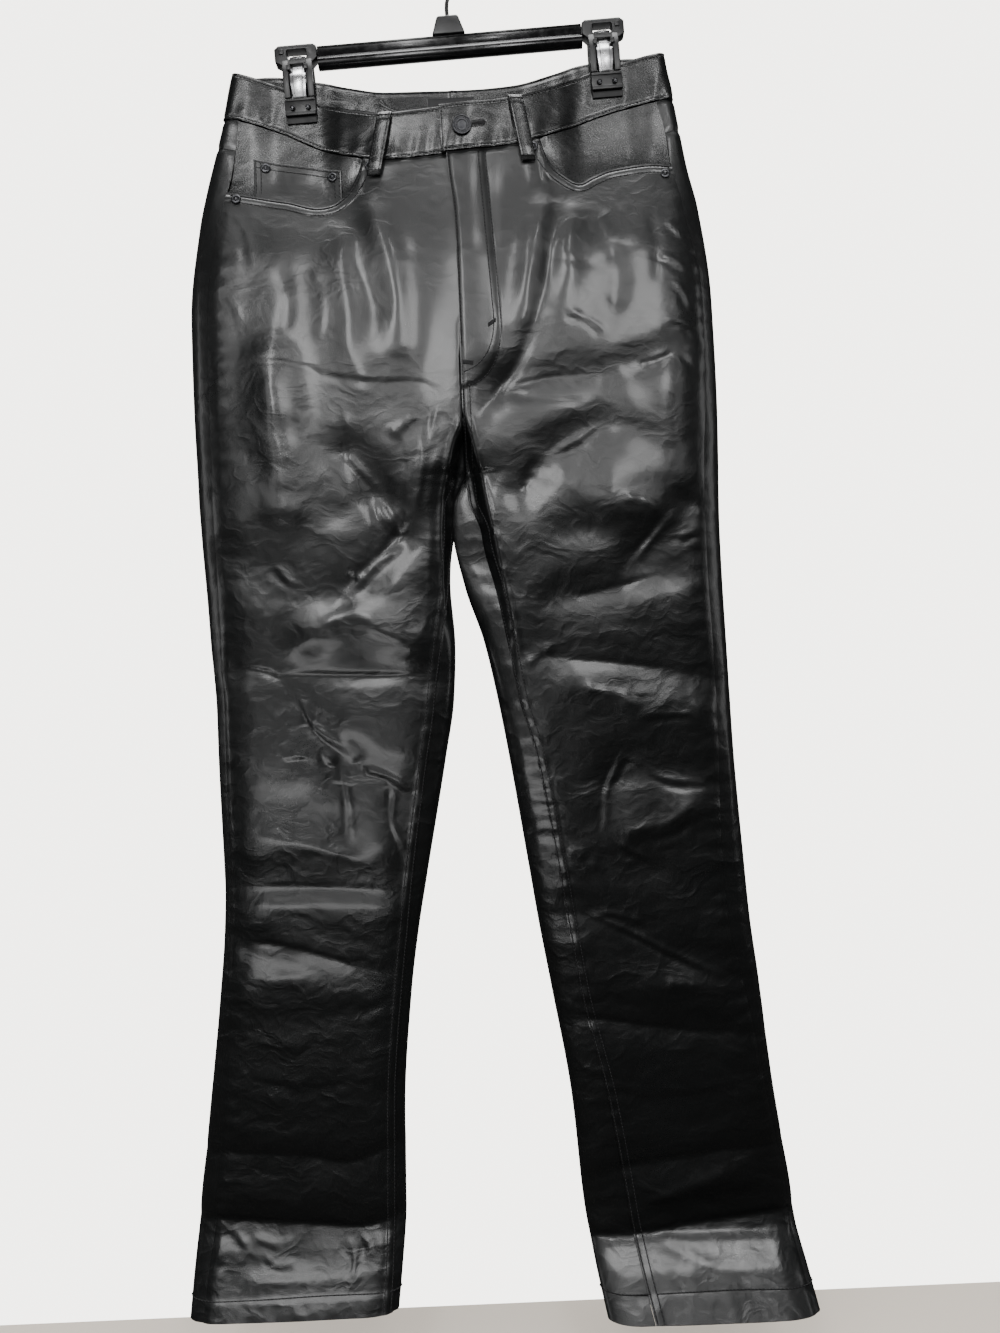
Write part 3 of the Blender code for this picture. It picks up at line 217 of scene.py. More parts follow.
# kind, half width, height, then x and drop of each point along the crease
creases = {
    left: (
        ("ridge", 8, 1.0, (-69, 105), (-65, 139), (-56, 171), (-50, 208), (-51, 245)),
        ("ridge", 8, 0.8, (-111, 137), (-94, 156), (-93, 179), (-89, 215), (-93, 252), (-73, 281)),
        ("valley", 7, 0.8, (-89, 160), (-80, 190), (-69, 216)),
        ("pinch", 3.5, 0.6, (-188, 124), (-175, 149), (-170, 182)),
        ("valley", 7, 0.9, (-152, 172), (-142, 208), (-149, 246)),
        ("ridge", 5, 0.7, (-119, 176), (-113, 214), (-118, 250)),
        ("pinch", 3.2, 0.6, (-196, 196), (-186, 212), (-183, 236)),
        ("ridge", 9, 1.2, (-161, 258), (-154, 342), (-153, 379)),
        ("press", 3.2, 0.9, (-196, 256), (-153, 259), (-126, 264), (-115, 270), (-75, 279),
         (-35, 280), (-17, 287), (1, 282)),
        ("pinch", 3.4, 1.3, (-96, 302), (-95, 339), (-93, 345), (-63, 379)),
        ("ridge", 4, 1.0, (-63, 327), (-34, 306)),
        ("ridge", 3.0, 0.7, (-10, 326), (-25, 357), (-32, 427), (-33, 474)),
        ("ridge", 3.0, 0.6, (-17, 298), (-30, 338), (-40, 377)),
        ("ridge", 3.2, 0.6, (-33, 316), (-35, 364), (-55, 406)),
        ("valley", 3.0, 0.6, (-54, 320), (-50, 350), (-54, 389)),
        ("valley", 2.8, 0.5, (-24, 300), (-32, 352), (-37, 392)),
        ("valley", 9, 2.0, (-62, 404), (-57, 408), (-53, 412)),
        ("pinch", 3.6, 1.2, (-75, 378), (-66, 396), (-57, 408)),
        ("pinch", 3.2, 1.0, (-48, 388), (-52, 399), (-57, 408)),
        ("pinch", 4.4, 1.5, (-53, 417), (-78, 434), (-105, 462)),
        ("ridge", 3.6, 1.1, (-104, 432), (-95, 438), (-88, 451)),
        ("pinch", 3.4, 1.1, (-164, 426), (-151, 444), (-136, 449)),
        ("ridge", 5, 1.3, (-132, 486), (-106, 475), (-89, 478), (-74, 490), (-49, 499)),
        ("press", 3.4, 1.1, (-208, 511), (-172, 520), (-164, 524), (-133, 524), (-60, 528),
         (-29, 527)),
        ("pinch", 3.6, 1.5, (-151, 536), (-146, 547), (-135, 569), (-113, 587), (-106, 597)),
        ("pinch", 3.4, 1.4, (-99, 605), (-73, 615), (-57, 627)),
        ("valley", 5, 1.0, (-104, 598), (-99, 605), (-94, 611)),
        ("pinch", 3.4, 1.0, (-165, 594), (-152, 592), (-140, 595)),
        ("pinch", 3.4, 1.2, (-130, 589), (-124, 598), (-117, 605)),
        ("pinch", 3.2, 1.0, (-114, 600), (-108, 646), (-108, 679)),
        ("pinch", 3.2, 1.0, (-69, 620), (-73, 652), (-65, 674), (-58, 694)),
        ("ridge", 7, 1.1, (-197, 654), (-150, 668), (-108, 682), (-85, 689)),
        ("press", 4.4, 1.0, (-205, 701), (-150, 704), (-69, 710)),
        ("ridge", 7, 0.8, (-206, 716), (-140, 722), (-70, 726)),
        ("press", 3.4, 1.0, (-209, 749), (-170, 755), (-96, 779)),
        ("ridge", 8, 0.9, (-194, 786), (-165, 784), (-137, 788)),
        ("valley", 5, 1.3, (-117, 820), (-95, 812), (-74, 800)),
        ("press", 4.5, 0.9, (-215, 868), (-160, 880), (-112, 872)),
        ("pinch", 3.6, 0.8, (-232, 1003), (-222, 1010), (-216, 1019)),
        ("pinch", 3.6, 0.9, (-118, 1010), (-110, 1022), (-112, 1034)),
        ("ridge", 4, 0.7, (-215, 1008), (-190, 1016), (-168, 1012)),
        ("ridge", 5, 0.8, (-232, 1040), (-170, 1043), (-100, 1040)),
        ("pinch", 3.4, 0.8, (-130, 1012), (-123, 1028), (-127, 1046)),
        ("ridge", 4, 0.8, (-103, 1010), (-99, 1028), (-106, 1048)),
        ("ridge", 5, 0.8, (-241, 1004), (-238, 1026), (-243, 1050)),
        ("pinch", 3.4, 0.6, (-204, 1022), (-190, 1031), (-172, 1029)),
    ),
    right: (
        ("ridge", 7, 0.9, (80, 112), (77, 139), (68, 173), (61, 200), (56, 229)),
        ("valley", 4.2, 1.3, (87, 150), (76, 204), (56, 257), (42, 279), (20, 306), (10, 323)),
        ("ridge", 7, 1.1, (101, 124), (100, 149), (94, 174), (96, 196), (84, 223)),
        ("valley", 3.4, 0.4, (74, 173), (102, 185), (130, 188)),
        ("pinch", 3.2, 0.9, (92, 225), (110, 234), (127, 246)),
        ("pinch", 3.2, 0.5, (134, 125), (145, 144), (155, 161)),
        ("pinch", 3.2, 0.9, (180, 148), (189, 158), (197, 170)),
        ("pinch", 3.2, 0.9, (172, 182), (186, 186), (199, 196)),
        ("pinch", 3.4, 1.0, (184, 203), (194, 214), (202, 229)),
        ("pinch", 3.2, 0.8, (176, 238), (192, 240), (205, 250)),
        ("pinch", 3.2, 0.7, (192, 262), (201, 275), (206, 292)),
        ("valley", 5, 0.8, (168, 140), (173, 172), (169, 208)),
        ("valley", 7, 0.9, (133, 165), (139, 200), (131, 238)),
        ("ridge", 4.0, 0.5, (120, 128), (128, 146), (133, 166)),
        ("press", 3.2, 1.0, (37, 288), (80, 280), (120, 280)),
        ("press", 3.0, 0.7, (39, 291), (70, 298), (108, 301)),
        ("press", 3.2, 0.9, (150, 273), (168, 270), (186, 262)),
        ("pinch", 4.0, 1.3, (73, 346), (95, 336), (118, 322)),
        ("valley", 4.6, 1.3, (49, 378), (57, 362), (68, 348)),
        ("ridge", 4.4, 1.2, (131, 386), (153, 390), (166, 404)),
        ("pinch", 4.2, 1.3, (184, 395), (165, 414), (146, 436), (138, 446)),
        ("pinch", 3.2, 0.9, (179, 420), (190, 418), (199, 416)),
        ("press", 3.4, 1.1, (85, 467), (112, 462), (169, 450)),
        ("ridge", 4.2, 1.0, (45, 527), (59, 512), (75, 512)),
        ("press", 3.6, 1.0, (60, 515), (147, 528), (194, 539)),
        ("ridge", 4.4, 1.2, (86, 542), (100, 547), (128, 554), (139, 569)),
        ("pinch", 4.0, 1.3, (139, 571), (160, 570), (188, 571)),
        ("pinch", 3.4, 1.2, (114, 630), (126, 607), (145, 616)),
        ("pinch", 3.4, 1.3, (145, 616), (160, 625), (200, 632)),
        ("pinch", 3.4, 1.1, (123, 607), (112, 631), (109, 658), (104, 672)),
        ("ridge", 4.4, 1.3, (119, 671), (140, 667), (165, 661), (190, 642)),
        ("valley", 4.6, 1.0, (118, 682), (142, 679), (170, 672), (192, 656)),
        ("pinch", 3.8, 1.4, (116, 674), (130, 686), (147, 696)),
        ("ridge", 5.0, 1.4, (74, 680), (90, 690), (107, 704)),
        ("pinch", 3.8, 1.2, (99, 737), (120, 742), (143, 749)),
        ("pinch", 3.6, 1.3, (80, 732), (128, 757), (160, 775), (222, 806)),
        ("ridge", 5.0, 1.3, (152, 801), (170, 803), (185, 807)),
        ("press", 3.2, 1.1, (66, 825), (99, 831), (150, 840), (198, 847)),
        ("press", 5.0, 0.8, (92, 890), (150, 902), (220, 892)),
        ("ridge", 5.0, 1.4, (119, 998), (170, 983), (216, 965)),
        ("ridge", 4.6, 1.3, (126, 1024), (161, 1034), (194, 1043), (256, 1047)),
        ("ridge", 6.0, 0.9, (130, 1045), (152, 1047), (174, 1046)),
        ("pinch", 3.4, 0.8, (96, 1034), (103, 1046), (99, 1060)),
        ("pinch", 3.4, 0.7, (205, 1050), (222, 1056), (244, 1054)),
    ),
}


def smoothCurve(rows, column):
    # a smooth curve through one column of a table, which never overshoots its rows
    table = np.array(rows, float)
    at, size = table[:, 0], table[:, column]
    span = np.diff(at)
    slope = np.diff(size) / span
    product, total = slope[:-1] * slope[1:], slope[:-1] + slope[1:]
    middle = np.where(product > 0, 2 * product / np.where(total == 0, 1, total), 0)
    lean = np.concatenate((slope[:1], middle, slope[-1:]))

    def valueAt(place):
        place = np.clip(place, at[0], at[-1])
        i = np.clip(np.searchsorted(at, place, side="right") - 1, 0, len(span) - 1)
        t = (place - at[i]) / span[i]
        start = (1 + 2 * t) * (1 - t) ** 2 * size[i] + t * (1 - t) ** 2 * span[i] * lean[i]
        end = t * t * (3 - 2 * t) * size[i + 1] + t * t * (t - 1) * span[i] * lean[i + 1]
        return start + end

    return valueAt


def ease(t):
    t = np.clip(t, 0.0, 1.0)
    return t * t * (3 - 2 * t)


outerAt = {side: smoothCurve(legOutline[side], 1) for side in sides}
innerAt = {side: smoothCurve(legOutline[side], 2) for side in sides}
sideSeamAt = {side: smoothCurve(legOutline[side], 3) for side in sides}
inseamAt = {side: smoothCurve(legOutline[side], 4) for side in sides}
halfDepthAt = smoothCurve(legDepth, 1)
leanAt = {left: smoothCurve(legDepth, 2), right: smoothCurve(legDepth, 3)}
mouthHalfAt = smoothCurve(waistMouth, 1)
waistEdgeAt = {front: smoothCurve(waistEdge, 1), back: smoothCurve(waistEdge, 2)}
pocketMouthAt = {side: smoothCurve(pocketMouth[side], 1) for side in sides}
flyEdgeAt = smoothCurve(flyEdge, 1)


def sampledPath(points, steps=8):
    # a rounded path through given points, as many short straight pieces
    points = np.array(points, float)
    if len(points) == 2:
        t = np.linspace(0, 1, steps)[:, None]
        return points[0] * (1 - t) + points[1] * t
    ends = np.vstack((2 * points[0] - points[1], points, 2 * points[-1] - points[-2]))
    path = []
    for a, b, c, d in zip(ends, ends[1:], ends[2:], ends[3:]):
        for t in np.linspace(0, 1, steps, endpoint=False):
            path.append(0.5 * (2 * b + (c - a) * t + (2 * a - 5 * b + 4 * c - d) * t ** 2
                               + (3 * b - a - 3 * c + d) * t ** 3))
    path.append(points[-1])
    return np.array(path)


def nearestOnPath(path, x, drop):
    # distance to the path, its sign (1 below or beside it on one hand) and the share along it
    best = np.full(x.shape, 1e9)
    sign, share = np.ones(x.shape), np.zeros(x.shape)
    lengths = np.hypot(*np.diff(path, axis=0).T)
    total = lengths.sum()
    run = 0.0
    for (x0, d0), (x1, d1), length in zip(path, path[1:], lengths):
        alongX, alongD = (x1 - x0) / length, (d1 - d0) / length
        t = np.clip((x - x0) * alongX + (drop - d0) * alongD, 0, length)
        offX, offD = x - x0 - t * alongX, drop - d0 - t * alongD
        distance = np.hypot(offX, offD)
        closer = distance < best
        best = np.where(closer, distance, best)
        sign = np.where(closer, np.sign(alongX * offD - alongD * offX), sign)
        share = np.where(closer, (run + t) / total, share)
        run += length
    return best, sign, share


creaseStrength = {"ridge": 0.8, "valley": 0.7, "pinch": 0.7, "press": 0.9}


def creaseProfile(kind, n):
    if kind == "ridge":
        return np.exp(-n * n)
    if kind == "valley":
        return -np.exp(-n * n)
    if kind == "pinch":
        return 1 / np.cosh(2.1 * n) - 0.7 * np.exp(-((n - 1.35) / 0.8) ** 2)
    # a pressed crease: sharp and dark above, and a face below it that tilts up to the light
    return np.where(n < 0, 0.35 * np.exp(n / 1.6) - 1.2 * np.exp(n / 0.4), -0.85 * np.clip(1 - n / 2.6, 0, 1))


fieldMap = {"step": 1.25, "reach": 300.0, "height": 1100.0}


def windowOf(xs, drops, low, high):
    # the rows and columns of the map that lie between two corners
    rows = slice(*np.searchsorted(drops, (low[1], high[1])))
    columns = slice(*np.searchsorted(xs, (low[0], high[0])))
    return rows, columns, *np.meshgrid(xs[columns], drops[rows])


def addCrease(field, xs, drops, row, uneven):
    kind, width, height, *points = row
    path = sampledPath(points)
    margin = 4.5 * width
    rows, columns, x, drop = windowOf(xs, drops, path.min(0) - margin, path.max(0) + margin)
    if x.size == 0:
        return
    distance, sign, share = nearestOnPath(path, x, drop)
    taper = ease(share / 0.22) * ease((1 - share) / 0.3)
    wander = 1 + 0.22 * np.sin(9 * share + uneven) + 0.12 * np.sin(23 * share + 2 * uneven)
    spread = 1 + 0.25 * np.sin(6 * share + 3 * uneven)
    n = sign * distance / (width * spread)
    field[rows, columns] += creaseStrength[kind] * height * taper * wander * creaseProfile(kind, n)


def addFold(field, xs, drops, row):
    width, height, *points = row
    low, high = np.min(points, 0) - 3 * width, np.max(points, 0) + 3 * width
    rows, columns, x, drop = windowOf(xs, drops, low, high)
    distance = nearestOnPath(np.array(points, float), x, drop)[0]
    bump = np.where(distance < 3 * width, np.exp(-((distance / width) ** 2)), 0)
    field[rows, columns] += height * bump


def softWaves(x, drop, seed):
    # the slow unevenness of hung cloth: upright at the hips, lying across below the thighs
    height = 0.0
    rng = np.random.default_rng(seed)
    upright = 1 - ease((drop - 250) / 170)
    for length, size in ((95, 0.55), (62, 0.42), (41, 0.28), (27, 0.16)):
        for turn in rng.uniform(0.9, 2.3, 3):
            offset = rng.uniform(0, 6.28)
            bend = 0.6 * np.sin(x / 57 + offset) + 0.6 * np.sin(drop / 83 + 2 * offset)
            level = (x * math.cos(turn) + drop * math.sin(turn)) * 6.28 / length
            lean = 0.22 * (turn - 1.6)
            steep = (x * math.cos(lean) + 1.2 * drop * math.sin(lean)) * 6.28 / (length + 22)
            across = np.sin(level + bend + offset) * (1 - upright)
            height = height + size * 0.6 * (across + 0.85 * np.sin(steep + 1.6 * bend + offset) * upright)
    return height * (1 - 0.55 * ease((drop - 380) / 80))


def hiddenCreases(side):
    # the back is creased like the front of the other leg, a little lower and turned round
    rows = []
    for kind, width, height, *points in creases[-side]:
        if points[0][1] > 240:
            rows.append((kind, width, height, *[(-x, drop + 11) for x, drop in points]))
    return rows


def seamPuckers(side, x, drop):
    # small gathers where the thread pulls the side seam, the inseam and the hem
    outer = side * (outerAt[side](drop) - sideSeamAt[side](drop)) + cloth["shift"]
    inner = side * (innerAt[side](drop) + inseamAt[side](drop)) + cloth["shift"]
    slip = 5 * np.sin(drop / 37 + side) + 3 * np.sin(drop / 13)
    waves = np.sin((drop + slip) * 6.28 / 17)
    height = 0.45 * waves * np.exp(-(((x - outer) / 13) ** 2)) * ease((drop - 110) / 60)
    height = height + 0.4 * waves * np.exp(-(((x - inner) / 12) ** 2)) * ease((drop - 380) / 40)
    fromHem = cloth["hemDrop"] - drop
    twist = np.sin((x + 0.8 * fromHem + 6 * np.sin(x / 31)) * 6.28 / 15)
    return height + 0.07 * twist * np.exp(-(((fromHem - 8) / 9) ** 2))


def makeField(side, face):
    step = fieldMap["step"]
    xs = np.arange(-fieldMap["reach"], fieldMap["reach"] + step, step)
    drops = np.arange(0, fieldMap["height"] + step, step)
    gridX, gridDrop = np.meshgrid(xs, drops)
    field = softWaves(gridX, gridDrop, 11 + 3 * side + face) * ease((gridDrop - 60) / 60)
    for row in bodyFolds[side, face]:
        addFold(field, xs, drops, row)
    rows = creases[side] if face == front else hiddenCreases(side)
    for number, row in enumerate(rows):
        addCrease(field, xs, drops, row, 1.7 * number)
    return field + seamPuckers(side, gridX, gridDrop)


heightField = {(side, face): makeField(side, face) for side in sides for face in (front, back)}
print("creases placed:", sum(len(creases[side]) for side in sides), "on the front")


def fieldHeight(side, face, x, drop):
    field, step = heightField[side, face], fieldMap["step"]
    column = np.clip((x + fieldMap["reach"]) / step, 0, field.shape[1] - 1.001)
    row = np.clip(drop / step, 0, field.shape[0] - 1.001)
    i, j = row.astype(int), column.astype(int)
    v, u = row - i, column - j
    upper = field[i, j] * (1 - u) + field[i, j + 1] * u
    lower = field[i + 1, j] * (1 - u) + field[i + 1, j + 1] * u
    return upper * (1 - v) + lower * v


# the cloth's outer surface, the same for every piece that lies on it


def innerX(side, face, drop, endX=None):
    legFold = side * innerAt[side](drop)
    flyX = flyEdgeAt(drop)
    halfGap = cloth["seamGap"] / 2
    backX = ease((drop - 248) / 110) * flyX + side * halfGap
    under = cloth["flyUnderlap"] * (1 - ease((drop - cloth["flyLapEnd"] + 30) / 28))
    turned = cloth["allowance"] * ease((cloth["crotchDrop"] - 1 - drop) / 6)
    if side == left:
        backX = backX + turned
    frontX = flyX + side * halfGap + (np.maximum(under, turned) if side == left else 0)
    if endX is not None:
        frontX = np.full(np.shape(drop), float(endX))
    return np.where(drop >= cloth["crotchDrop"], legFold, np.where(face > 0, frontX, backX))


def seamDepth(face, drop):
    above = cloth["crotchDrop"] - drop
    share = np.clip(above / np.where(face > 0, 55.0, 110.0), 0, 1)
    return np.sqrt(1 - (1 - share) ** 2)


def rounding(distance, reach):
    share = np.clip(distance / reach, 0, 1)
    return np.sqrt(np.clip(1 - (1 - share) ** 2, 0, 1))


# drop, x of the left and of the right fold edge, and how far the cloth sinks between them
crotchFolds = (
    (306, 1.5, 3.0, 0), (319, -1, 6.6, 0.25), (332, -6.5, 9.5, 0.55), (358, -13, 14.5, 0.72),
    (382, -18.1, 18.6, 0.78), (425, -20.5, 26.7, 0.8), (446, -20, 30, 0.66), (480, -18, 36, 0.4),
    (540, -16, 44, 0),
)
foldEdgeAt = {left: smoothCurve(crotchFolds, 1), right: smoothCurve(crotchFolds, 2)}
foldSinkAt = smoothCurve(crotchFolds, 3)


def crotchSink(side, x, drop):
    # the share of the tube's depth that is left, and a rolled edge beside it
    inside = side * (foldEdgeAt[side](drop) - x)
    sink = foldSinkAt(drop)
    roll = 1.3 * np.exp(-(((inside + 1.6) / 2.3) ** 2)) * ease(sink / 0.4)
    return 1 - sink * ease(inside / 8.5), roll


bendLines = {
    side: [(depth, above, below, smoothCurve(points, 1)) for depth, above, below, *points in legBends[side]]
    for side in sides
}


def bendBack(side, x, drop):
    # sharp bends that run right across the flat leg, so both of its faces share them
    y = 0.0
    for depth, above, below, lineAt in bendLines[side]:
        down = drop - lineAt(x)
        over, under = np.exp(np.minimum(down, 0) / above), np.exp(-np.maximum(down, 0) / below)
        y = y + depth * np.where(down < 0, over, under)
    return y


def barePoints(side, around, drop, endX=None, creased=True):
    around = np.where(around < -1, around + 2, np.where(around > 1, around - 2, around))
    face = np.where(around >= 0, 1, -1)
    outer = side * outerAt[side](drop)
    inner = innerX(side, face, drop, endX)
    reach = (inner - outer) / 2
    x = (inner + outer) / 2 - reach * np.cos(np.pi * np.abs(around))
    fromOuter, fromInner = np.abs(x - outer), np.abs(inner - x)
    openShare = ease((drop - 50) / 130)
    half = mouthHalfAt(np.abs(x)) * (1 - openShare) + halfDepthAt(drop) * openShare
    edge = half * (1.3 + openShare)
    depth = seamDepth(face, drop)
    bulge = rounding(fromOuter, edge) * (depth + (1 - depth) * rounding(fromInner, edge))
    kept, roll = crotchSink(side, x + cloth["shift"], drop)
    raised = half * bulge * np.where(face > 0, kept, 1)
    if creased:
        innerFade = np.where(drop < cloth["crotchDrop"], 1, ease(fromInner / cloth["foldFade"]))
        fade = ease(fromOuter / cloth["foldFade"]) * innerFade
        shifted = x + cloth["shift"]
        frontHeight = fieldHeight(side, front, shifted, drop)
        backHeight = fieldHeight(side, back, shifted, drop)
        raised = raised + fade * np.where(face > 0, frontHeight, backHeight)
        raised = raised + np.where(face > 0, roll, 0) * ease(fromInner / 6)
    y = leanAt[side](drop) + bendBack(side, x + cloth["shift"], drop) - face * raised
    return np.stack((x + cloth["shift"], y, cloth["waistZ"] - drop + 0 * x), -1)


def clothNormal(side, around, drop, endX=None):
    step = 0.006
    above = drop < cloth["crotchDrop"]
    low = np.where(above, np.maximum(around - step, -1), around - step)
    high = np.where(above, np.minimum(around + step, 1), around + step)
    upper, lower = np.maximum(drop - 0.6, 0), drop + 0.6
    upper = np.where(~above & (upper < cloth["crotchDrop"]), cloth["crotchDrop"], upper)
    lower = np.where(above & (lower >= cloth["crotchDrop"]), cloth["crotchDrop"] - 0.01, lower)
    along = barePoints(side, high, drop, endX, False) - barePoints(side, low, drop, endX, False)
    down = barePoints(side, around, lower, endX, False) - barePoints(side, around, upper, endX, False)
    normal = np.cross(down, along) * -side
    return normal / np.maximum(np.linalg.norm(normal, axis=-1, keepdims=True), 1e-9)


def clothPoints(side, around, drop, lift=0.0, endX=None):
    # lifted off the surface along its normal, still in millimetres
    around, drop = np.broadcast_arrays(np.asarray(around, float), np.asarray(drop, float))
    lifted = np.asarray(lift, float) * np.ones(around.shape)
    return barePoints(side, around, drop, endX) + clothNormal(side, around, drop, endX) * lifted[..., None]


def aroundAt(side, face, x, drop, endX=None):
    outer = side * outerAt[side](drop)
    inner = innerX(side, np.full(np.shape(drop), face), drop, endX)
    share = np.clip(((inner + outer) / 2 - x) / ((inner - outer) / 2), -1, 1)
    return face * np.arccos(share) / np.pi


def sideSeam(side, drop):
    return aroundAt(side, front, side * (outerAt[side](drop) - sideSeamAt[side](drop)), drop)


def inseam(side, drop):
    onFront = aroundAt(side, front, side * (innerAt[side](drop) + inseamAt[side](drop)), drop)
    return np.where(drop <= cloth["crotchDrop"], 1.0, onFront)


def flyLap(side, x, drop):
    if side == left:
        return np.zeros(np.shape(x))
    return (1 - ease((x - 8) / 45)) * (1 - ease((drop - cloth["flyLapEnd"]) / 40))


def edgeByFace(face, x):
    return np.where(face > 0, waistEdgeAt[front](x), waistEdgeAt[back](x))


def bandBottom(face, x):
    return waistEdgeAt[face](x) + cloth["bandHeight"]


def yokeSeam(x):
    return 110.0 - 0.22 * np.abs(x)


def frontTop(side, x):
    mouthStart = pocketMouth[side][0][0]
    seam = bandBottom(front, x) + cloth["seamGap"]
    return np.where(np.abs(x) < mouthStart, seam, pocketMouthAt[side](np.abs(x)))


def settle(side, aroundOf, edgeOf):
    # the drop at which each column meets an edge that is given by x
    start = 90.0
    drop = np.full(np.shape(aroundOf(np.float64(start))), start)
    for _ in range(14):
        x = barePoints(side, aroundOf(drop), drop, None, False)[..., 0] - cloth["shift"]
        drop = edgeOf(x)
    return drop


# shells of cloth from grids of (around, drop)


def pieceName(node):
    # front_panel_left gives frontPanelLeft
    first, *rest = node.split("_")
    return first + "".join(word.title() for word in rest)


def addItem(name, data):
    item = bpy.data.objects.new(name, data)
    bpy.context.scene.collection.objects.link(item)
    return item


def runsOver(points):
    # how far each point lies from the first column, and from the top row
    rows, columns = points.shape[:2]
    across = np.linalg.norm(np.diff(points, axis=1), axis=-1)
    down = np.linalg.norm(np.diff(points, axis=0), axis=-1)
    fromFirst = np.concatenate((np.zeros((rows, 1)), np.cumsum(across, 1)), 1)
    return fromFirst, np.concatenate((np.zeros((1, columns)), np.cumsum(down, 0)), 0)


def gridObject(name, points):
    # a single layer of faces over a grid of points in millimetres, with a UV map in metres
    rows, columns = points.shape[:2]
    mesh = bpy.data.meshes.new(name)
    index = np.arange(rows * columns).reshape(rows, columns)
    quads = np.stack((index[:-1, :-1], index[1:, :-1], index[1:, 1:], index[:-1, 1:]), -1)
    mesh.from_pydata((points.reshape(-1, 3) * mm).tolist(), [], quads.reshape(-1, 4).tolist())
    fromFirst, fromTop = runsOver(points)
    u, v = fromFirst * mm, fromTop * -mm
    layer = mesh.uv_layers.new(name="cloth")
    corners = np.empty(len(mesh.loops), np.int32)
    mesh.loops.foreach_get("vertex_index", corners)
    layer.data.foreach_set("uv", np.stack((u.ravel()[corners], v.ravel()[corners]), -1).ravel())
    return addItem(name, mesh)


def turnOutwards(item, centre):
    # faces of an open shell point away from the middle of the garment
    mesh = item.data
    away = 0.0
    for number in range(0, len(mesh.polygons), max(1, len(mesh.polygons) // 80)):
        poly = mesh.polygons[number]
        away += poly.normal.dot((poly.center - centre) * Vector((0.3, 1, 0)))
    if away < 0:
        mesh.flip_normals()


def applyModifiers(item):
    graph = bpy.context.evaluated_depsgraph_get()
    baked = bpy.data.meshes.new_from_object(item.evaluated_get(graph))
    item.modifiers.clear()
    item.data = baked
    item.data.name = item.name
    return item


def giveThickness(item, thickness, edge=0.0):
    solid = item.modifiers.new("thickness", "SOLIDIFY")
    solid.thickness = thickness * mm
    solid.offset = -1
    solid.use_even_offset = False
    if edge:
        bevel = item.modifiers.new("soft edge", "BEVEL")
        bevel.width = edge * mm
        bevel.segments = 2
        bevel.limit_method = "ANGLE"
        bevel.angle_limit = math.radians(50)
    applyModifiers(item)
    item.data.shade_smooth()
    item.data.set_sharp_from_angle(angle=math.radians(50))
    return item


def edgeRoll(points, borders, depth, reach=2.6):
    # sewn borders dip towards the seam: first column, last column, top row, bottom row
    fromFirst, fromTop = runsOver(points)
    distances = (fromFirst, fromFirst[:, -1:] - fromFirst, fromTop, fromTop[-1:] - fromTop)
    dip = np.zeros(fromFirst.shape)
    for distance, sewn in zip(distances, borders):
        if sewn:
            dip = np.maximum(dip, np.exp(-((distance / reach) ** 2)))
    return -depth * dip


def standIn(node, points, centre, thickness, edge=0.0):
    # a piece of cloth that takes the place of a CAD node
    item = gridObject(pieceName(node), points)
    turnOutwards(item, Vector(centre))
    giveThickness(item, thickness, edge)
    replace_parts(item, node)
    return item


def makeShell(node, side, around, drop, options):
    # options: lift, thickness, edge, borders, roll, lap, endX, extra
    endX = options.get("endX")
    around, drop = np.broadcast_arrays(around, drop)
    lift = options.get("lift", 0.0) * np.ones(drop.shape)
    plain = clothPoints(side, around, drop, 0.0, endX)
    x = plain[..., 0] - cloth["shift"]
    if "lap" in options:
        lift = lift + options["lap"] * flyLap(side, x, drop) * (around >= 0)
    if "extra" in options:
        lift = lift + options["extra"](x, drop, around)
    lift = lift + edgeRoll(plain, options.get("borders", (0, 0, 0, 0)), options.get("roll", 0.9))
    points = clothPoints(side, around, drop, lift, endX)
    return standIn(node, points, (0.1 * side, 0.0, -0.5), options["thickness"], options.get("edge", 0.0))


panel = {
    "frontColumns": 96,
    "backColumns": 84,
    "rowStep": 2.12,
    "backRowStep": 3.4,
    "seamInset": 0.0003,
    "pocketBase": 130.0,
}


def evenShares(count):
    # closer together at the folds than in the middle
    u = np.linspace(0, 1, count)
    return 0.5 * np.arccos(1 - 2 * u) / np.pi + 0.5 * u


def panelDrops(top, step):
    # rows follow the top edge and grow level by the bottom of the pockets
    base = panel["pocketBase"]
    upperCount = int((base - np.min(top)) / step) + 2
    upper = top + (base - top) * np.linspace(0, 1, upperCount)[:, None] ** 1.3  # closer at the top edge
    lowerCount = int((cloth["hemDrop"] - base) / step)
    lower = np.linspace(base, cloth["hemDrop"], lowerCount)[1:, None] * np.ones(top.shape)
    # no row lies across the step in the inner edge at the crotch
    nearest = np.argmin(np.abs(lower[:, 0] - cloth["crotchDrop"]))
    lower[nearest] = cloth["crotchDrop"]
    return np.concatenate((upper, lower), 0)


def panelAround(side, face, share):
    def aroundOf(drop):
        start = sideSeam(side, drop) + face * panel["seamInset"]
        inset = np.where(drop >= cloth["crotchDrop"] - 2, panel["seamInset"], 0.0)
        end = inseam(side, drop) - (0 if face == front else 2) - face * inset
        return start + (end - start) * share

    return aroundOf


fly = {"curveStart": 215.0, "curveEnd": 286.0, "thick": 0.9}


def flyStitchX(drop):
    # the outer row of the J: straight down, then curving in to the middle seam
    along = np.clip((drop - fly["curveStart"]) / (fly["curveEnd"] - fly["curveStart"]), 0, 1)
    straight = 27.5 + 7.4 * np.clip((drop - 86) / 150, 0, 1)
    return straight * np.sqrt(np.clip(1 - along ** 3.2, 0, 1)) + 0.5


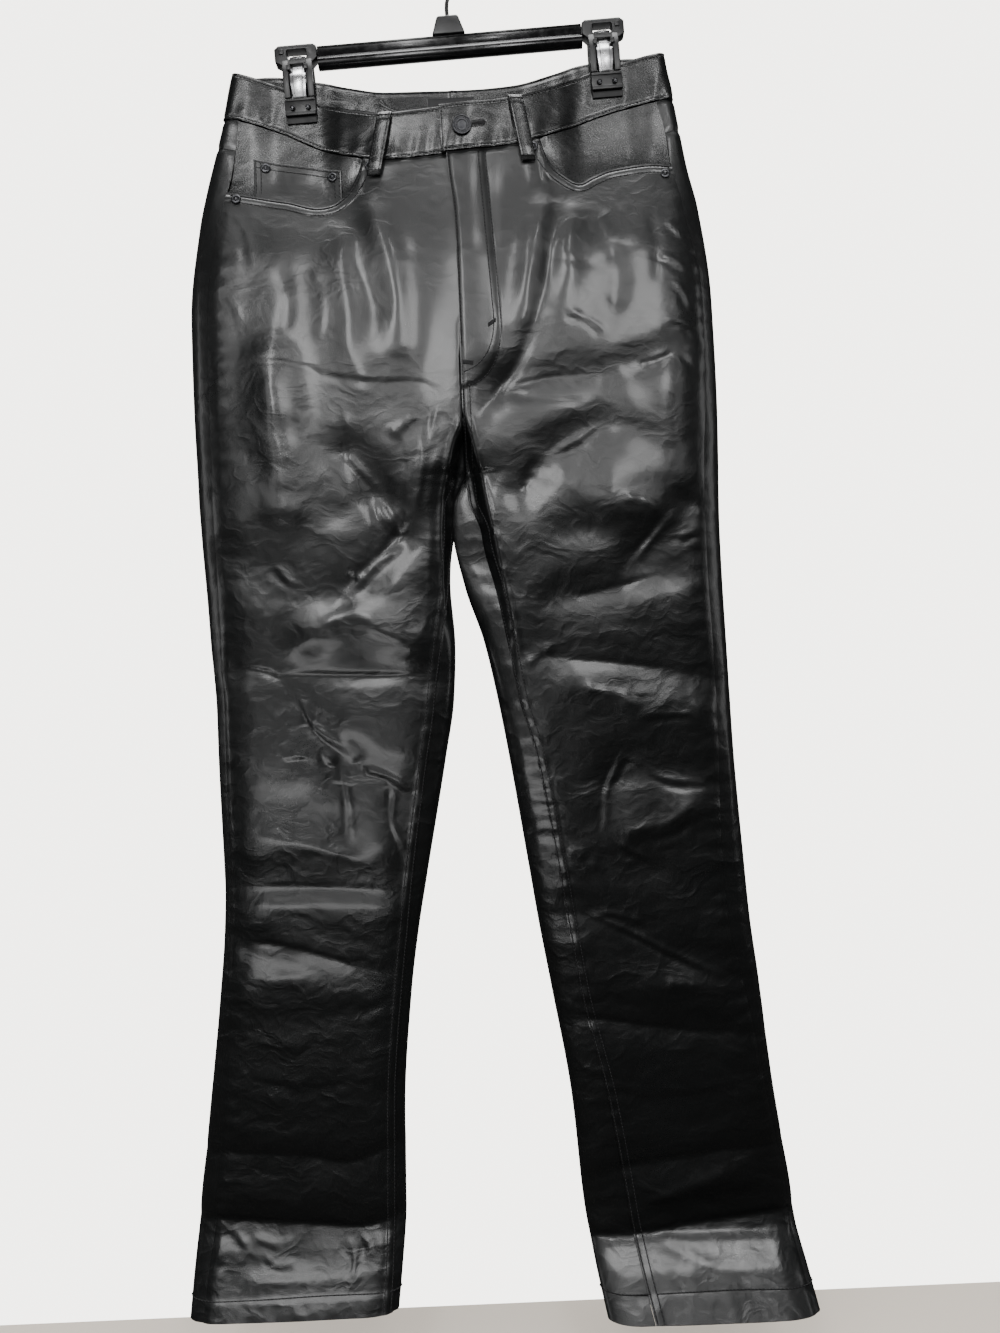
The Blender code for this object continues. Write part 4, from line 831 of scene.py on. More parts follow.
def flyThickness(x, drop, around):
    inside = ease((flyStitchX(drop) - x) / 3.0) * (drop < fly["curveEnd"]) * (around >= 0)
    ridge = 0.6 * np.exp(-(((x - flyStitchX(drop) + 2.5) / 3) ** 2)) * (around >= 0)
    return fly["thick"] * inside - ridge * 0.6 * (drop < fly["curveEnd"] - 4)


turnedIn = {"width": 7.6, "height": 0.75, "groove": 0.3}


def sewnBand(distance):
    # the cloth is double within the second row of stitches and dips at each row
    height = turnedIn["height"] * (1 - ease((distance - turnedIn["width"] + 0.6) / 1.9))
    for row in (2.2, turnedIn["width"]):
        height = height - turnedIn["groove"] * np.exp(-(((distance - row) / 0.9) ** 2))
    return height * (distance > -1)


def frontBands(side, x, drop):
    # along the pocket mouth, the inseam and the hem
    reach = np.abs(x)
    mouth = pocketMouthAt[side](reach)
    slope = (pocketMouthAt[side](reach + 0.5) - pocketMouthAt[side](reach - 0.5))
    fromMouth = (drop - mouth) / np.sqrt(1 + slope ** 2)
    start = pocketMouth[side][0][0]
    beside = np.where(reach < start, np.hypot(start - reach, np.maximum(drop - mouth, 0)), fromMouth)
    height = sewnBand(np.where(drop < 160, beside, 99))
    fromInseam = side * x - innerAt[side](drop) - inseamAt[side](drop)
    height = np.maximum(height, sewnBand(fromInseam) * ease((drop - 372) / 12) * (fromInseam > -1))
    fromHem = cloth["hemDrop"] - drop
    return height + 0.5 * (1 - ease((fromHem - 14.5) / 2)) - 0.35 * np.exp(-(((fromHem - 15.5) / 1.3) ** 2))


def underRight(x, drop, around):
    # the left side's allowance sinks behind the right panel below the lap
    edge = flyEdgeAt(drop) - x
    lower = ease((drop - 250) / 20) * (drop < cloth["crotchDrop"])
    return -2.1 * ease((1.0 - edge) / 1.6) * lower


def legsTouch(x, drop, around):
    # the inner folds lean on each other for a hand's width below the crotch
    nearFold = ease((np.abs(around) - 0.86) / 0.12)
    below = ease((drop - 326) / 32) * (1 - ease((drop - 398) / 34))
    return cloth["legsTouch"] * nearFold * below


def makeFrontPanel(side):
    aroundOf = panelAround(side, front, evenShares(panel["frontColumns"]))
    top = settle(side, aroundOf, lambda x: frontTop(side, x))
    drop = panelDrops(top, panel["rowStep"])
    thicker = flyThickness if side == right else underRight

    def extra(x, drop, around):
        return thicker(x, drop, around) + legsTouch(x, drop, around) + frontBands(side, x, drop)

    options = {
        "thickness": cloth["thickness"],
        "lap": cloth["thickness"] + 0.3,
        "borders": (1, 1, 1, 0),
        "extra": extra,
    }
    return makeShell(f"front_panel_{sides[side]}", side, aroundOf(drop), drop, options)


def makeBackPanel(side):
    aroundOf = panelAround(side, back, evenShares(panel["backColumns"]))
    top = settle(side, aroundOf, yokeSeam) + cloth["seamGap"]
    drop = panelDrops(np.minimum(top, panel["pocketBase"] - 6), panel["backRowStep"])
    options = {"thickness": cloth["thickness"], "borders": (1, 1, 1, 0), "extra": legsTouch}
    return makeShell(f"back_panel_{sides[side]}", side, aroundOf(drop), drop, options)


def makeBackYoke(side):
    share = evenShares(panel["backColumns"])
    aroundOf = panelAround(side, back, share)
    face = np.where(aroundOf(np.full(share.shape, 60.0)) >= 0, 1, -1)
    top = settle(side, aroundOf, lambda x: edgeByFace(face, x) + cloth["bandHeight"] + cloth["seamGap"])
    bottom = settle(side, aroundOf, yokeSeam)
    drop = top + (bottom - top) * np.linspace(0, 1, 22)[:, None]
    options = {"thickness": cloth["thickness"], "borders": (1, 1, 1, 1)}
    return makeShell(f"back_yoke_{sides[side]}", side, aroundOf(drop), drop, options)


band = {"end": {left: 14.0, right: -10.0}, "columns": 180, "rows": 46, "edge": 0.7, "groove": 0.45}


def bandPucker(x, drop, around):
    # short drags where the band is sewn to the body and where the clips pinch it
    face = np.where(around >= 0, 1, -1)
    down = np.clip((drop - edgeByFace(face, x)) / cloth["bandHeight"], 0, 1)
    slip = 4 * np.sin(x / 29) + 3 * np.sin(x / 11 + 1)
    drags = 0.4 * np.sin((x + slip + 9 * down) * 6.28 / 16) * down ** 2
    long = 0.5 * np.sin(x / 17 + 2.2 * down) * np.sin(3.14 * down)
    pinch = np.exp(-(((np.abs(x) - 132) / 20) ** 2))
    groove = np.exp(-(((down - 0.06) * 44) ** 2)) + np.exp(-(((down - 0.94) * 44) ** 2))
    sag = 0.5 * np.sin(3.14 * np.clip(down * 1.6, 0, 1)) * pinch
    return (drags + long) * (1 - pinch) - sag - band["groove"] * groove


def bandGrid(side, columns, rows):
    end = band["end"][side]
    u = np.linspace(-1, 1, columns)
    across = np.arccos(1 - 2 * np.abs(u)) / np.pi
    around = np.sign(u) * (0.75 * across + 0.25 * np.abs(u))
    face = np.where(around >= 0, 1, -1)
    drops = []
    even = np.linspace(0, 1, rows)
    for share in 0.25 * even + 0.75 * (0.5 - 0.5 * np.cos(np.pi * even)):
        drop = np.full(around.shape, 40.0)
        for _ in range(14):
            x = barePoints(side, around, drop, end, False)[..., 0] - cloth["shift"]
            drop = edgeByFace(face, x) + share * cloth["bandHeight"]
        drops.append(drop)
    return around, np.array(drops)


def makeWaistband(side):
    around, drop = bandGrid(side, band["columns"], band["rows"])
    options = {
        "lift": cloth["bandProud"],
        "thickness": cloth["bandThickness"],
        "edge": band["edge"],
        "lap": cloth["bandThickness"] + cloth["seamGap"],
        "endX": band["end"][side],
        "extra": bandPucker,
        "borders": (1, 0, 0, 0),
    }
    return makeShell(f"waistband_{sides[side]}", side, around, drop, options)


facing = {"depth": {left: 3.6, right: 2.8}, "thickness": 1.1, "reach": 0.74, "coinAbove": 1.4}


def facingDepth(side, x, drop):
    top, mouth = bandBottom(front, x), frontTop(side, x)
    room = np.maximum(mouth - 4 - top, 1.0)
    sunk = 0.3 + (facing["depth"][side] - 0.3) * ease((drop - top) / room)
    return np.where(mouth - top < 8, facing["depth"][side], sunk)


def makeFacing(side):
    aroundOf = panelAround(side, front, np.linspace(0, facing["reach"], 60))
    mouth = settle(side, aroundOf, lambda x: frontTop(side, x))
    top = settle(side, aroundOf, lambda x: bandBottom(front, x) + 1.2)
    top = np.where(mouth - top < 2, mouth + 1.2, top)
    drop = top + (150.0 - top) * np.linspace(0, 1, 34)[:, None]
    options = {
        "thickness": facing["thickness"],
        "extra": lambda x, drop, around: -facingDepth(side, x, drop),
    }
    return makeShell(f"pocket_facing_{sides[side]}", side, aroundOf(drop), drop, options)


coin = {"outerX": -172.0, "innerX": -97.0, "rows": 26, "columns": 36, "thickness": 1.0}


def coinTop(x):
    return 77 + 0.19 * (x + 171)


def coinLift(x, drop):
    return facing["coinAbove"] - facingDepth(left, x, drop)


def makeCoinPocket():
    x = np.linspace(coin["outerX"], coin["innerX"], coin["columns"]) * np.ones((coin["rows"], 1))
    top = coinTop(x)
    drop = top + (127.0 - top) * np.linspace(0, 1, coin["rows"])[:, None]
    options = {
        "thickness": coin["thickness"],
        "edge": 0.35,
        "extra": lambda x, drop, around: coinLift(x, drop),
    }
    return makeShell("coin_pocket", left, aroundAt(left, front, x, drop), drop, options)


patch = {"inner": 46.0, "outer": 168.0, "top": 131.0, "side": 236.0, "point": 256.0, "lift": 2.0}


def patchGrid(side, columns, rows, inset=0.0):
    u = np.linspace(0, 1, columns)
    wide = patch["outer"] - patch["inner"] - 2 * inset
    x = side * (patch["inner"] + inset + wide * u)
    bottom = patch["point"] + (patch["side"] - patch["point"]) * np.abs(2 * u - 1) - inset
    top = patch["top"] + inset
    drop = top + (bottom - top) * np.linspace(0, 1, rows)[:, None]
    narrow = 1 - 0.05 * np.linspace(0, 1, rows)[:, None]
    middle = side * (patch["inner"] + patch["outer"]) / 2
    return middle + (x - middle) * narrow, drop


def makeBackPocket(side):
    x, drop = patchGrid(side, 52, 52)
    options = {"lift": patch["lift"], "thickness": 1.2, "edge": 0.4, "borders": (1, 1, 0, 1), "roll": 0.35}
    return makeShell(f"back_pocket_{sides[side]}", side, aroundAt(side, back, x, drop), drop, options)


# node, side, face, x at the top and the bottom, length
loopTable = (
    ("belt_loop_front_left", left, front, -55.6, -67.7, 57),
    ("belt_loop_front_right", right, front, 55.2, 64.7, 60),
    ("belt_loop_back_left", left, back, -104, -108, 58),
    ("belt_loop_back_right", right, back, 104, 108, 58),
    ("belt_loop_back_middle", right, back, 0, 0, 57),
)
loop = {"width": 12.0, "thickness": 1.9, "rows": 40, "columns": 9, "lowest": 0.8, "highest": 3.3}


def loopPoint(side, face, x, drop, lift):
    # a point over the waistband, on either leg's side of the middle
    ends = {left: band["end"][left], right: band["end"][right]}
    points = []
    for legSide in (left, right):
        endX = ends[legSide] if face == front else None
        around = aroundAt(legSide, face, x, drop, endX)
        if face == back:
            around = np.maximum(around, -0.995)
        lifted = cloth["bandProud"] + lift
        if face == front:
            lap = cloth["bandThickness"] + cloth["seamGap"]
            lifted = lifted + lap * flyLap(legSide, x, drop)
        points.append(clothPoints(legSide, around, drop, lifted, endX))
    if face == back and abs(float(np.mean(x))) < 20:
        return np.where((x < 0)[..., None], points[0], points[1])
    return points[0] if side == left else points[1]


def loopShape(face, topX, bottomX, down):
    # the strip's middle, the drop where it starts and the lift of its outer side, by the share down
    middle = topX + (bottomX - topX) * down
    start = waistEdgeAt[face](middle) + 0.8
    rise = ease(down / 0.16) * ease((1 - down) / 0.2)
    lift = loop["lowest"] + (loop["highest"] - loop["lowest"]) * rise
    # it is turned under at both ends, so it is thicker there
    fold = 0.9 * np.exp(-(((down - 0.93) / 0.05) ** 2)) + 0.5 * np.exp(-(((down - 0.05) / 0.05) ** 2))
    return middle, start, lift + loop["thickness"] + fold


def makeBeltLoop(node, side, face, topX, bottomX, length):
    down = np.linspace(0, 1, loop["rows"])[:, None] * np.ones((1, loop["columns"]))
    across = np.linspace(-0.5, 0.5, loop["columns"]) * np.ones((loop["rows"], 1))
    middle, start, lift = loopShape(face, topX, bottomX, down)
    crown = 0.35 * (1 - (2 * across) ** 2)
    x, drop = middle + across * loop["width"], start + (length - 0.8) * down
    points = loopPoint(side, face, x, drop, lift + crown)
    return standIn(node, points, (0.1 * side, 0.0, -0.5), loop["thickness"], 0.5)


label = {"width": 40.0, "height": 26.0, "below": 7.0, "behind": 0.8}


def makeLabel():
    x = np.linspace(-0.5, 0.5, 16) * label["width"] * np.ones((12, 1))
    drop = waistEdgeAt[back](0.0) + label["below"] + np.linspace(0, 1, 12)[:, None] * label["height"]
    drop = drop * np.ones(x.shape)
    points = loopPoint(right, back, x, drop, -cloth["bandThickness"] - label["behind"])
    return standIn("inside_label", points, (0, -0.2, -0.14), 0.6, 0.15)


pairedPieces = (makeFrontPanel, makeBackPanel, makeBackYoke, makeWaistband, makeFacing, makeBackPocket)
clothMade = [make(side) for side in sides for make in pairedPieces] + [makeCoinPocket()]
clothMade += [makeBeltLoop(*row) for row in loopTable] + [makeLabel()]
clothPieces = {item.name: item for item in clothMade}
print("cloth made:", len(clothPieces), "pieces")

# finishes


def fillInputs(tree, node, inputs):
    # each input is given as a value, or as the socket that feeds it
    for title, value in dict(inputs).items():
        if isinstance(value, bpy.types.NodeSocket):
            tree.links.new(value, node.inputs[title])
        else:
            node.inputs[title].default_value = value


def addNode(tree, kind, inputs=(), **settings):
    node = tree.nodes.new(kind)
    for title, value in settings.items():
        setattr(node, title, value)
    fillInputs(tree, node, inputs)
    return node


def newGroup(name, inputs, outputs):
    # a shader node group with floats and vectors going in, and floats coming out
    group = bpy.data.node_groups.new(name, "ShaderNodeTree")
    for title, value in inputs.items():
        kind = "NodeSocketFloat" if isinstance(value, float) else "NodeSocketVector"
        socket = group.interface.new_socket(name=title, in_out="INPUT", socket_type=kind)
        if value is not None:
            socket.default_value = value
    for title in outputs:
        group.interface.new_socket(name=title, in_out="OUTPUT", socket_type="NodeSocketFloat")
    return group, group.nodes.new("NodeGroupInput").outputs, group.nodes.new("NodeGroupOutput")


def mathNode(tree, operation, *values):
    return addNode(tree, "ShaderNodeMath", enumerate(values), operation=operation).outputs[0]


def vectorNode(tree, operation, *values):
    return addNode(tree, "ShaderNodeVectorMath", enumerate(values), operation=operation).outputs[0]


def noiseNode(tree, vector, scale, detail=2.0, roughness=0.5, output="Fac"):
    inputs = {"Vector": vector, "Scale": scale, "Detail": detail, "Roughness": roughness}
    return addNode(tree, "ShaderNodeTexNoise", inputs).outputs[output]


def rangeNode(tree, value, low, high, fromLow=0.3, fromHigh=0.7, **settings):
    inputs = {"Value": value, "From Min": fromLow, "From Max": fromHigh, "To Min": low, "To Max": high}
    return addNode(tree, "ShaderNodeMapRange", inputs, **settings).outputs["Result"]


def warpedPlace(tree, place, scale, reach):
    # places pushed about by a soft noise
    push = noiseNode(tree, place, scale, output="Color")
    return vectorNode(tree, "MULTIPLY_ADD", push, reach, place)


def buildPebbleGrain():
    # the embossed grain of faux leather: rounded pebbles with creased valleys between them
    inputs = {"Vector": None, "Pebble Size": 0.0011}
    group, given, result = newGroup("pebble grain", inputs, ("Height", "Valley"))
    place = given["Vector"]
    inputs = {
        "Vector": warpedPlace(group, place, 420.0, (0.0009, 0.0009, 0.0009)),
        "Scale": mathNode(group, "DIVIDE", 1.0, given["Pebble Size"]),
    }
    cells = addNode(group, "ShaderNodeTexVoronoi", inputs, feature="DISTANCE_TO_EDGE")
    slope = mathNode(group, "MULTIPLY", cells.outputs["Distance"], 3.2)
    dome = mathNode(group, "SMOOTH_MIN", slope, 1.0, 0.4)
    height = mathNode(group, "MULTIPLY_ADD", noiseNode(group, place, 2600.0), 0.25, dome)
    fillInputs(group, result, {"Height": height, "Valley": mathNode(group, "SUBTRACT", 1.0, dome)})
    return group


def buildSoftCrumple():
    # the shallow crumple of cloth that has been folded and packed, below the size of a crease
    inputs = {"Vector": None, "Fold Size": 0.03}
    group, given, result = newGroup("soft crumple", inputs, ("Height", "Patches"))
    place = given["Vector"]
    scale = mathNode(group, "DIVIDE", 1.0, given["Fold Size"])
    pushed = warpedPlace(group, place, 28.0, (0.07, 0.07, 0.045))
    stretched = vectorNode(group, "MULTIPLY", pushed, (0.7, 1.0, 1.35))
    heights = []
    for factor, share in ((1.0, 1.0), (2.4, 0.36), (5.5, 0.12)):
        inputs = {"Vector": stretched, "Scale": mathNode(group, "MULTIPLY", scale, factor)}
        facets = addNode(group, "ShaderNodeTexVoronoi", inputs, feature="F1")
        heights.append(mathNode(group, "MULTIPLY", facets.outputs["Distance"], share))
    total = mathNode(group, "ADD", mathNode(group, "ADD", heights[0], heights[1]), heights[2])
    # stronger below the hips
    level = addNode(group, "ShaderNodeSeparateXYZ", {0: place}).outputs["Z"]
    total = mathNode(group, "MULTIPLY", total, rangeNode(group, level, 0.5, 1.0, -0.3, -0.58))
    # thin wrinkles, lying mostly across, that come and go
    flat = vectorNode(group, "MULTIPLY", pushed, (0.55, 1.0, 1.7))
    for finer, narrow, size in ((13.0, 0.03, 0.07), (24.0, 0.036, 0.045)):
        offset = mathNode(group, "SUBTRACT", noiseNode(group, flat, finer), 0.5)
        away = mathNode(group, "ABSOLUTE", offset)
        thin = rangeNode(group, away, size, 0.0, 0.0, narrow, interpolation_type="SMOOTHSTEP")
        where = noiseNode(group, place, 0.55 * finer, 1.0)
        shown = mathNode(group, "MULTIPLY", mathNode(group, "SUBTRACT", where, 0.46), 6.0)
        shown.node.use_clamp = True
        total = mathNode(group, "MULTIPLY_ADD", thin, shown, total)
    fillInputs(group, result, {"Height": total, "Patches": noiseNode(group, place, 9.0, 4.0, 0.6)})
    return group


def buildBrushedWear():
    # fine streaks along one axis with a few dull patches, for metal and moulded plastic
    inputs = {"Vector": None, "Stretch": (1.0, 1.0, 1.0)}
    group, given, result = newGroup("brushed wear", inputs, ("Streaks", "Dull"))
    stretched = vectorNode(group, "MULTIPLY", given["Vector"], given["Stretch"])
    streaks = noiseNode(group, stretched, 900.0, 3.0)
    dull = noiseNode(group, given["Vector"], 140.0, 4.0, 0.65)
    fillInputs(group, result, {"Streaks": streaks, "Dull": dull})
    return group


pebbleGrain = buildPebbleGrain()
softCrumple = buildSoftCrumple()
brushedWear = buildBrushedWear()


def newFinish(name, colour, roughness, metallic=0.0):
    material = bpy.data.materials.new(name)
    material.use_nodes = True
    tree = material.node_tree
    shader = tree.nodes["Principled BSDF"]
    fillInputs(tree, shader, {"Base Color": (*colour, 1.0), "Roughness": roughness, "Metallic": metallic})
    return material, tree, shader, tree.nodes.new("ShaderNodeTexCoord").outputs["Object"]


def addGroup(tree, group, place, title, value):
    inputs = {"Vector": place, title: value}
    return addNode(tree, "ShaderNodeGroup", inputs, node_tree=group).outputs


def mixColours(tree, factor, first, second):
    inputs = {"Factor": factor, "A": (*first, 1.0), "B": (*second, 1.0)}
    return addNode(tree, "ShaderNodeMix", inputs, data_type="RGBA").outputs["Result"]


def bumpNode(tree, height, strength, distance, normal=None):
    inputs = {"Height": height, "Strength": strength, "Distance": distance}
    if normal is not None:
        inputs["Normal"] = normal
    return addNode(tree, "ShaderNodeBump", inputs).outputs["Normal"]


leather = {
    "body": {
        "dark": (0.0021, 0.0024, 0.0025), "pale": (0.0048, 0.0054, 0.0056), "gloss": (0.25, 0.35),
        "pebble": 0.0014, "grain": 0.00005, "crumple": 0.0030, "coat": 0.3, "coatRoughness": 0.15,
    },
    "band": {
        "dark": (0.0022, 0.0025, 0.0026), "pale": (0.005, 0.0056, 0.0058), "gloss": (0.17, 0.25),
        "pebble": 0.0014, "grain": 0.00005, "crumple": 0.0024, "coat": 0.3, "coatRoughness": 0.15,
    },
    "facing": {
        "dark": (0.0021, 0.0024, 0.0025), "pale": (0.0046, 0.0052, 0.0054), "gloss": (0.18, 0.27),
        "pebble": 0.0014, "grain": 0.00005, "crumple": 0.0024, "coat": 0.25, "coatRoughness": 0.18,
    },
}


def leatherFinish(name, look):
    material, tree, shader, place = newFinish(name, look["dark"], 0.38)
    grain = addGroup(tree, pebbleGrain, place, "Pebble Size", look["pebble"])
    folds = addGroup(tree, softCrumple, place, "Fold Size", 0.046)
    low, high = look["gloss"]
    gloss = rangeNode(tree, folds["Patches"], high, low)
    large = bumpNode(tree, folds["Height"], 0.5, look["crumple"])
    fillInputs(tree, shader, {
        "Base Color": mixColours(tree, rangeNode(tree, folds["Patches"], 0, 1), look["dark"], look["pale"]),
        "Roughness": mathNode(tree, "MULTIPLY_ADD", grain["Valley"], 0.10, gloss),
        "Normal": bumpNode(tree, grain["Height"], 0.6, look["grain"], large),
        "Coat Weight": look["coat"],
        "Coat Roughness": look["coatRoughness"],
    })
    return material


def threadFinish():
    material, tree, shader, place = newFinish("black thread", (0.013, 0.0135, 0.014), 0.62)
    twist = noiseNode(tree, place, 2400.0, 3.0)
    fillInputs(tree, shader, {
        "Base Color": mixColours(tree, twist, (0.006, 0.006, 0.007), (0.02, 0.02, 0.022)),
        "Normal": bumpNode(tree, twist, 0.5, 0.00012),
    })
    return material


def labelFinish():
    material, tree, shader, place = newFinish("label weave", (0.012, 0.012, 0.013), 0.55)
    inputs = {"Vector": place, "Scale": 520.0, "Distortion": 0.6}
    weave = addNode(tree, "ShaderNodeTexWave", inputs).outputs["Fac"]
    fillInputs(tree, shader, {
        "Base Color": mixColours(tree, weave, (0.008, 0.008, 0.009), (0.018, 0.018, 0.02)),
        "Normal": bumpNode(tree, weave, 0.4, 0.00012),
    })
    return material


def metalFinish(name, dark, pale, roughness, stretch, wear=0.00006):
    material, tree, shader, place = newFinish(name, pale, roughness, 1.0)
    brushed = addGroup(tree, brushedWear, place, "Stretch", stretch)
    fillInputs(tree, shader, {
        "Base Color": mixColours(tree, rangeNode(tree, brushed["Dull"], 0, 1), pale, dark),
        "Roughness": rangeNode(tree, brushed["Dull"], roughness, roughness + 0.16),
        "Normal": bumpNode(tree, brushed["Streaks"], 0.4, wear),
    })
    return material


def plasticFinish(name, colour, roughness, texture):
    material, tree, shader, place = newFinish(name, colour, roughness)
    brushed = addGroup(tree, brushedWear, place, "Stretch", (0.2, 1.0, 1.0))
    pale = tuple(channel * 1.8 + 0.004 for channel in colour)
    fillInputs(tree, shader, {
        "Base Color": mixColours(tree, rangeNode(tree, brushed["Dull"], 0, 1, 0.45, 0.8), colour, pale),
        "Roughness": rangeNode(tree, brushed["Dull"], roughness, roughness + 0.14, 0.4, 0.75),
        "Normal": bumpNode(tree, brushed["Streaks"], 0.3, texture),
    })
    return material


finishes = {
    "faux_leather": leatherFinish("faux leather", leather["body"]),
    "faux_leather_band": leatherFinish("faux leather band", leather["band"]),
    "pocket_facing": leatherFinish("pocket facing", leather["facing"]),
    "label_cloth": labelFinish(),
    "gunmetal": metalFinish("gunmetal", (0.03, 0.031, 0.034), (0.1, 0.1, 0.105), 0.22, (1, 1, 1)),
    "black_plastic": plasticFinish("black plastic", (0.0035, 0.0035, 0.004), 0.16, 0.00001),
    "pad_rubber": plasticFinish("pad rubber", (0.004, 0.004, 0.0045), 0.5, 0.0001),
    "spring_steel": metalFinish("spring steel", (0.42, 0.42, 0.43), (0.68, 0.68, 0.69), 0.2, (4, 4, 0.15)),
    "chrome_wire": metalFinish("chrome wire", (0.6, 0.6, 0.61), (0.8, 0.8, 0.81), 0.09, (1, 1, 1), 0.00002),
}
mouldedPlastic = plasticFinish("moulded plastic", (0.004, 0.004, 0.0045), 0.34, 0.00004)
threadBlack = threadFinish()
# a near-black, rough finish for the tube under the stitch rows: painted shade along the seam grooves
paintedGrooveShade = newFinish("pressed line", (0.0012, 0.0012, 0.0013), 0.8)[0]


def dress(item, slotName):
    item.data.materials.clear()
    item.data.materials.append(finishes[slotName])


slotOfNode = {part["node"]: part["material_slot"] for part in frame["record"]["subparts"]}
for item in clothPieces.values():
    dress(item, slotOfNode[item["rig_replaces"][0]])
print("finishes made")

# stitching

# groove and sink: the radius of the dark tube under each row and how far it sinks in; the tube is painted
# groove shade
stitch = {"pitch": 3.1, "length": 2.35, "thread": 0.85, "lift": 0.22, "seed": 7, "groove": 0.62, "sink": 0.62}


stitchInputs = (
    ("Pitch", "Float"), ("Length", "Float"), ("Thread", "Float"), ("Groove", "Float"), ("Sink", "Float"),
    ("Seed", "Int"), ("Finish", "Material"), ("Line Finish", "Material"),
)


def buildStitchTree():
    # a short thread on every point of the rows, turned along them, over a thin near-black tube sunk in the
    # cloth that paints the shade of the seam's groove
    tree = bpy.data.node_groups.new("stitch rows", "GeometryNodeTree")
    newSocket = tree.interface.new_socket
    newSocket(name="Geometry", in_out="INPUT", socket_type="NodeSocketGeometry")
    titles = {}
    for title, kind in stitchInputs:
        socket = newSocket(name=title, in_out="INPUT", socket_type=f"NodeSocket{kind}")
        titles[title] = socket.identifier
    newSocket(name="Geometry", in_out="OUTPUT", socket_type="NodeSocketGeometry")
    given = tree.nodes.new("NodeGroupInput").outputs

    def add(kind, inputs=(), output=0, **settings):
        return addNode(tree, kind, inputs, **settings).outputs[output]

    rows = add("GeometryNodeMeshToCurve", {"Mesh": given["Geometry"]})
    spaced = add("GeometryNodeResampleCurve", {"Curve": rows, "Length": given["Pitch"]}, mode="LENGTH")
    along = add("FunctionNodeAlignRotationToVector", {"Vector": add("GeometryNodeInputTangent")}, axis="X")
    ball = add("GeometryNodeMeshUVSphere", {"Segments": 6, "Rings": 4, "Radius": 0.5}, "Mesh")
    size = {"X": given["Length"], "Y": given["Thread"], "Z": given["Thread"]}
    shape = {
        "Geometry": add("GeometryNodeSetShadeSmooth", {"Geometry": ball}),
        "Scale": add("ShaderNodeCombineXYZ", size),
    }
    chance = {2: 0.88, 3: 1.06, "Seed": given["Seed"]}
    placed = {
        "Points": spaced,
        "Instance": add("GeometryNodeTransform", shape),
        "Rotation": along,
        "Scale": add("FunctionNodeRandomValue", chance, 1, data_type="FLOAT"),
    }
    solid = add("GeometryNodeRealizeInstances", {"Geometry": add("GeometryNodeInstanceOnPoints", placed)})
    threads = add("GeometryNodeSetMaterial", {"Geometry": solid, "Material": given["Finish"]})

    # a dark tube along each row, sunk into the cloth: painted shade in the seam's groove
    outwards = add("GeometryNodeInputNamedAttribute", {"Name": "out"}, "Attribute", data_type="FLOAT_VECTOR")
    inwards = add("ShaderNodeVectorMath", {0: outwards, "Scale": given["Sink"]}, operation="SCALE")
    sunk = add("GeometryNodeSetPosition", {"Geometry": given["Geometry"], "Offset": inwards})
    circle = {"Resolution": 6, "Radius": given["Groove"]}
    tube = {
        "Curve": add("GeometryNodeMeshToCurve", {"Mesh": sunk}),
        "Profile Curve": add("GeometryNodeCurvePrimitiveCircle", circle),
    }
    smooth = add("GeometryNodeSetShadeSmooth", {"Geometry": add("GeometryNodeCurveToMesh", tube)})
    shadeLines = add("GeometryNodeSetMaterial", {"Geometry": smooth, "Material": given["Line Finish"]})

    both = tree.nodes.new("GeometryNodeJoinGeometry")
    for part in (shadeLines, threads):
        tree.links.new(part, both.inputs["Geometry"])
    fillInputs(tree, tree.nodes.new("NodeGroupOutput"), {"Geometry": both.outputs["Geometry"]})
    return tree, titles


stitchTree, stitchSockets = buildStitchTree()


def sew(name, rows, slotName="faux_leather", **sizes):
    # rows of stitches in one piece, from rows of points in millimetres with their way out
    table = np.concatenate(rows)
    edges, first = [], 0
    for row in rows:
        edges.extend((first + i, first + i + 1) for i in range(len(row) - 1))
        first += len(row)
    mesh = bpy.data.meshes.new(name)
    mesh.from_pydata((table[:, :3] * mm).tolist(), edges, [])
    outwards = mesh.attributes.new("out", "FLOAT_VECTOR", "POINT")
    outwards.data.foreach_set("vector", np.ascontiguousarray(table[:, 3:], np.float32).ravel())
    item = addItem(name, mesh)
    rowsOfThread = item.modifiers.new("stitches", "NODES")
    rowsOfThread.node_group = stitchTree
    sizes = {**stitch, **sizes}
    values = {title.title(): sizes[title] * mm for title in ("pitch", "length", "thread", "groove")}
    values["Sink"] = -sizes["sink"] * mm
    values |= {"Seed": stitch["seed"], "Finish": threadBlack, "Line Finish": paintedGrooveShade}
    for title, value in values.items():
        rowsOfThread[stitchSockets[title]] = value
    applyModifiers(item)
    return item


def threadRow(side, around, drop, lift, endX=None):
    normal = clothNormal(side, around, drop, endX)
    return np.concatenate((clothPoints(side, around, drop, lift, endX), normal), -1)


def seamLine(side, face, x, drop, lift=0.0, endX=None):
    x, drop = np.broadcast_arrays(np.asarray(x, float), np.asarray(drop, float))
    return threadRow(side, aroundAt(side, face, x, drop, endX), drop, lift + stitch["lift"], endX)


def lapLift(side, x, drop):
    return (cloth["thickness"] + 0.3) * flyLap(side, x, drop)


def flyLift(x, drop):
    x, drop = np.broadcast_arrays(np.asarray(x, float), np.asarray(drop, float))
    return lapLift(right, x, drop) + flyThickness(x, drop, x * 0 + 1)


def bandLapLift(x, drop):
    # over the right half of the waistband where it laps the left one
    x, drop = np.broadcast_arrays(np.asarray(x, float), np.asarray(drop, float))
    return cloth["bandProud"] + cloth["bandThickness"] + cloth["seamGap"] + bandPucker(x, drop, x * 0 + 1)


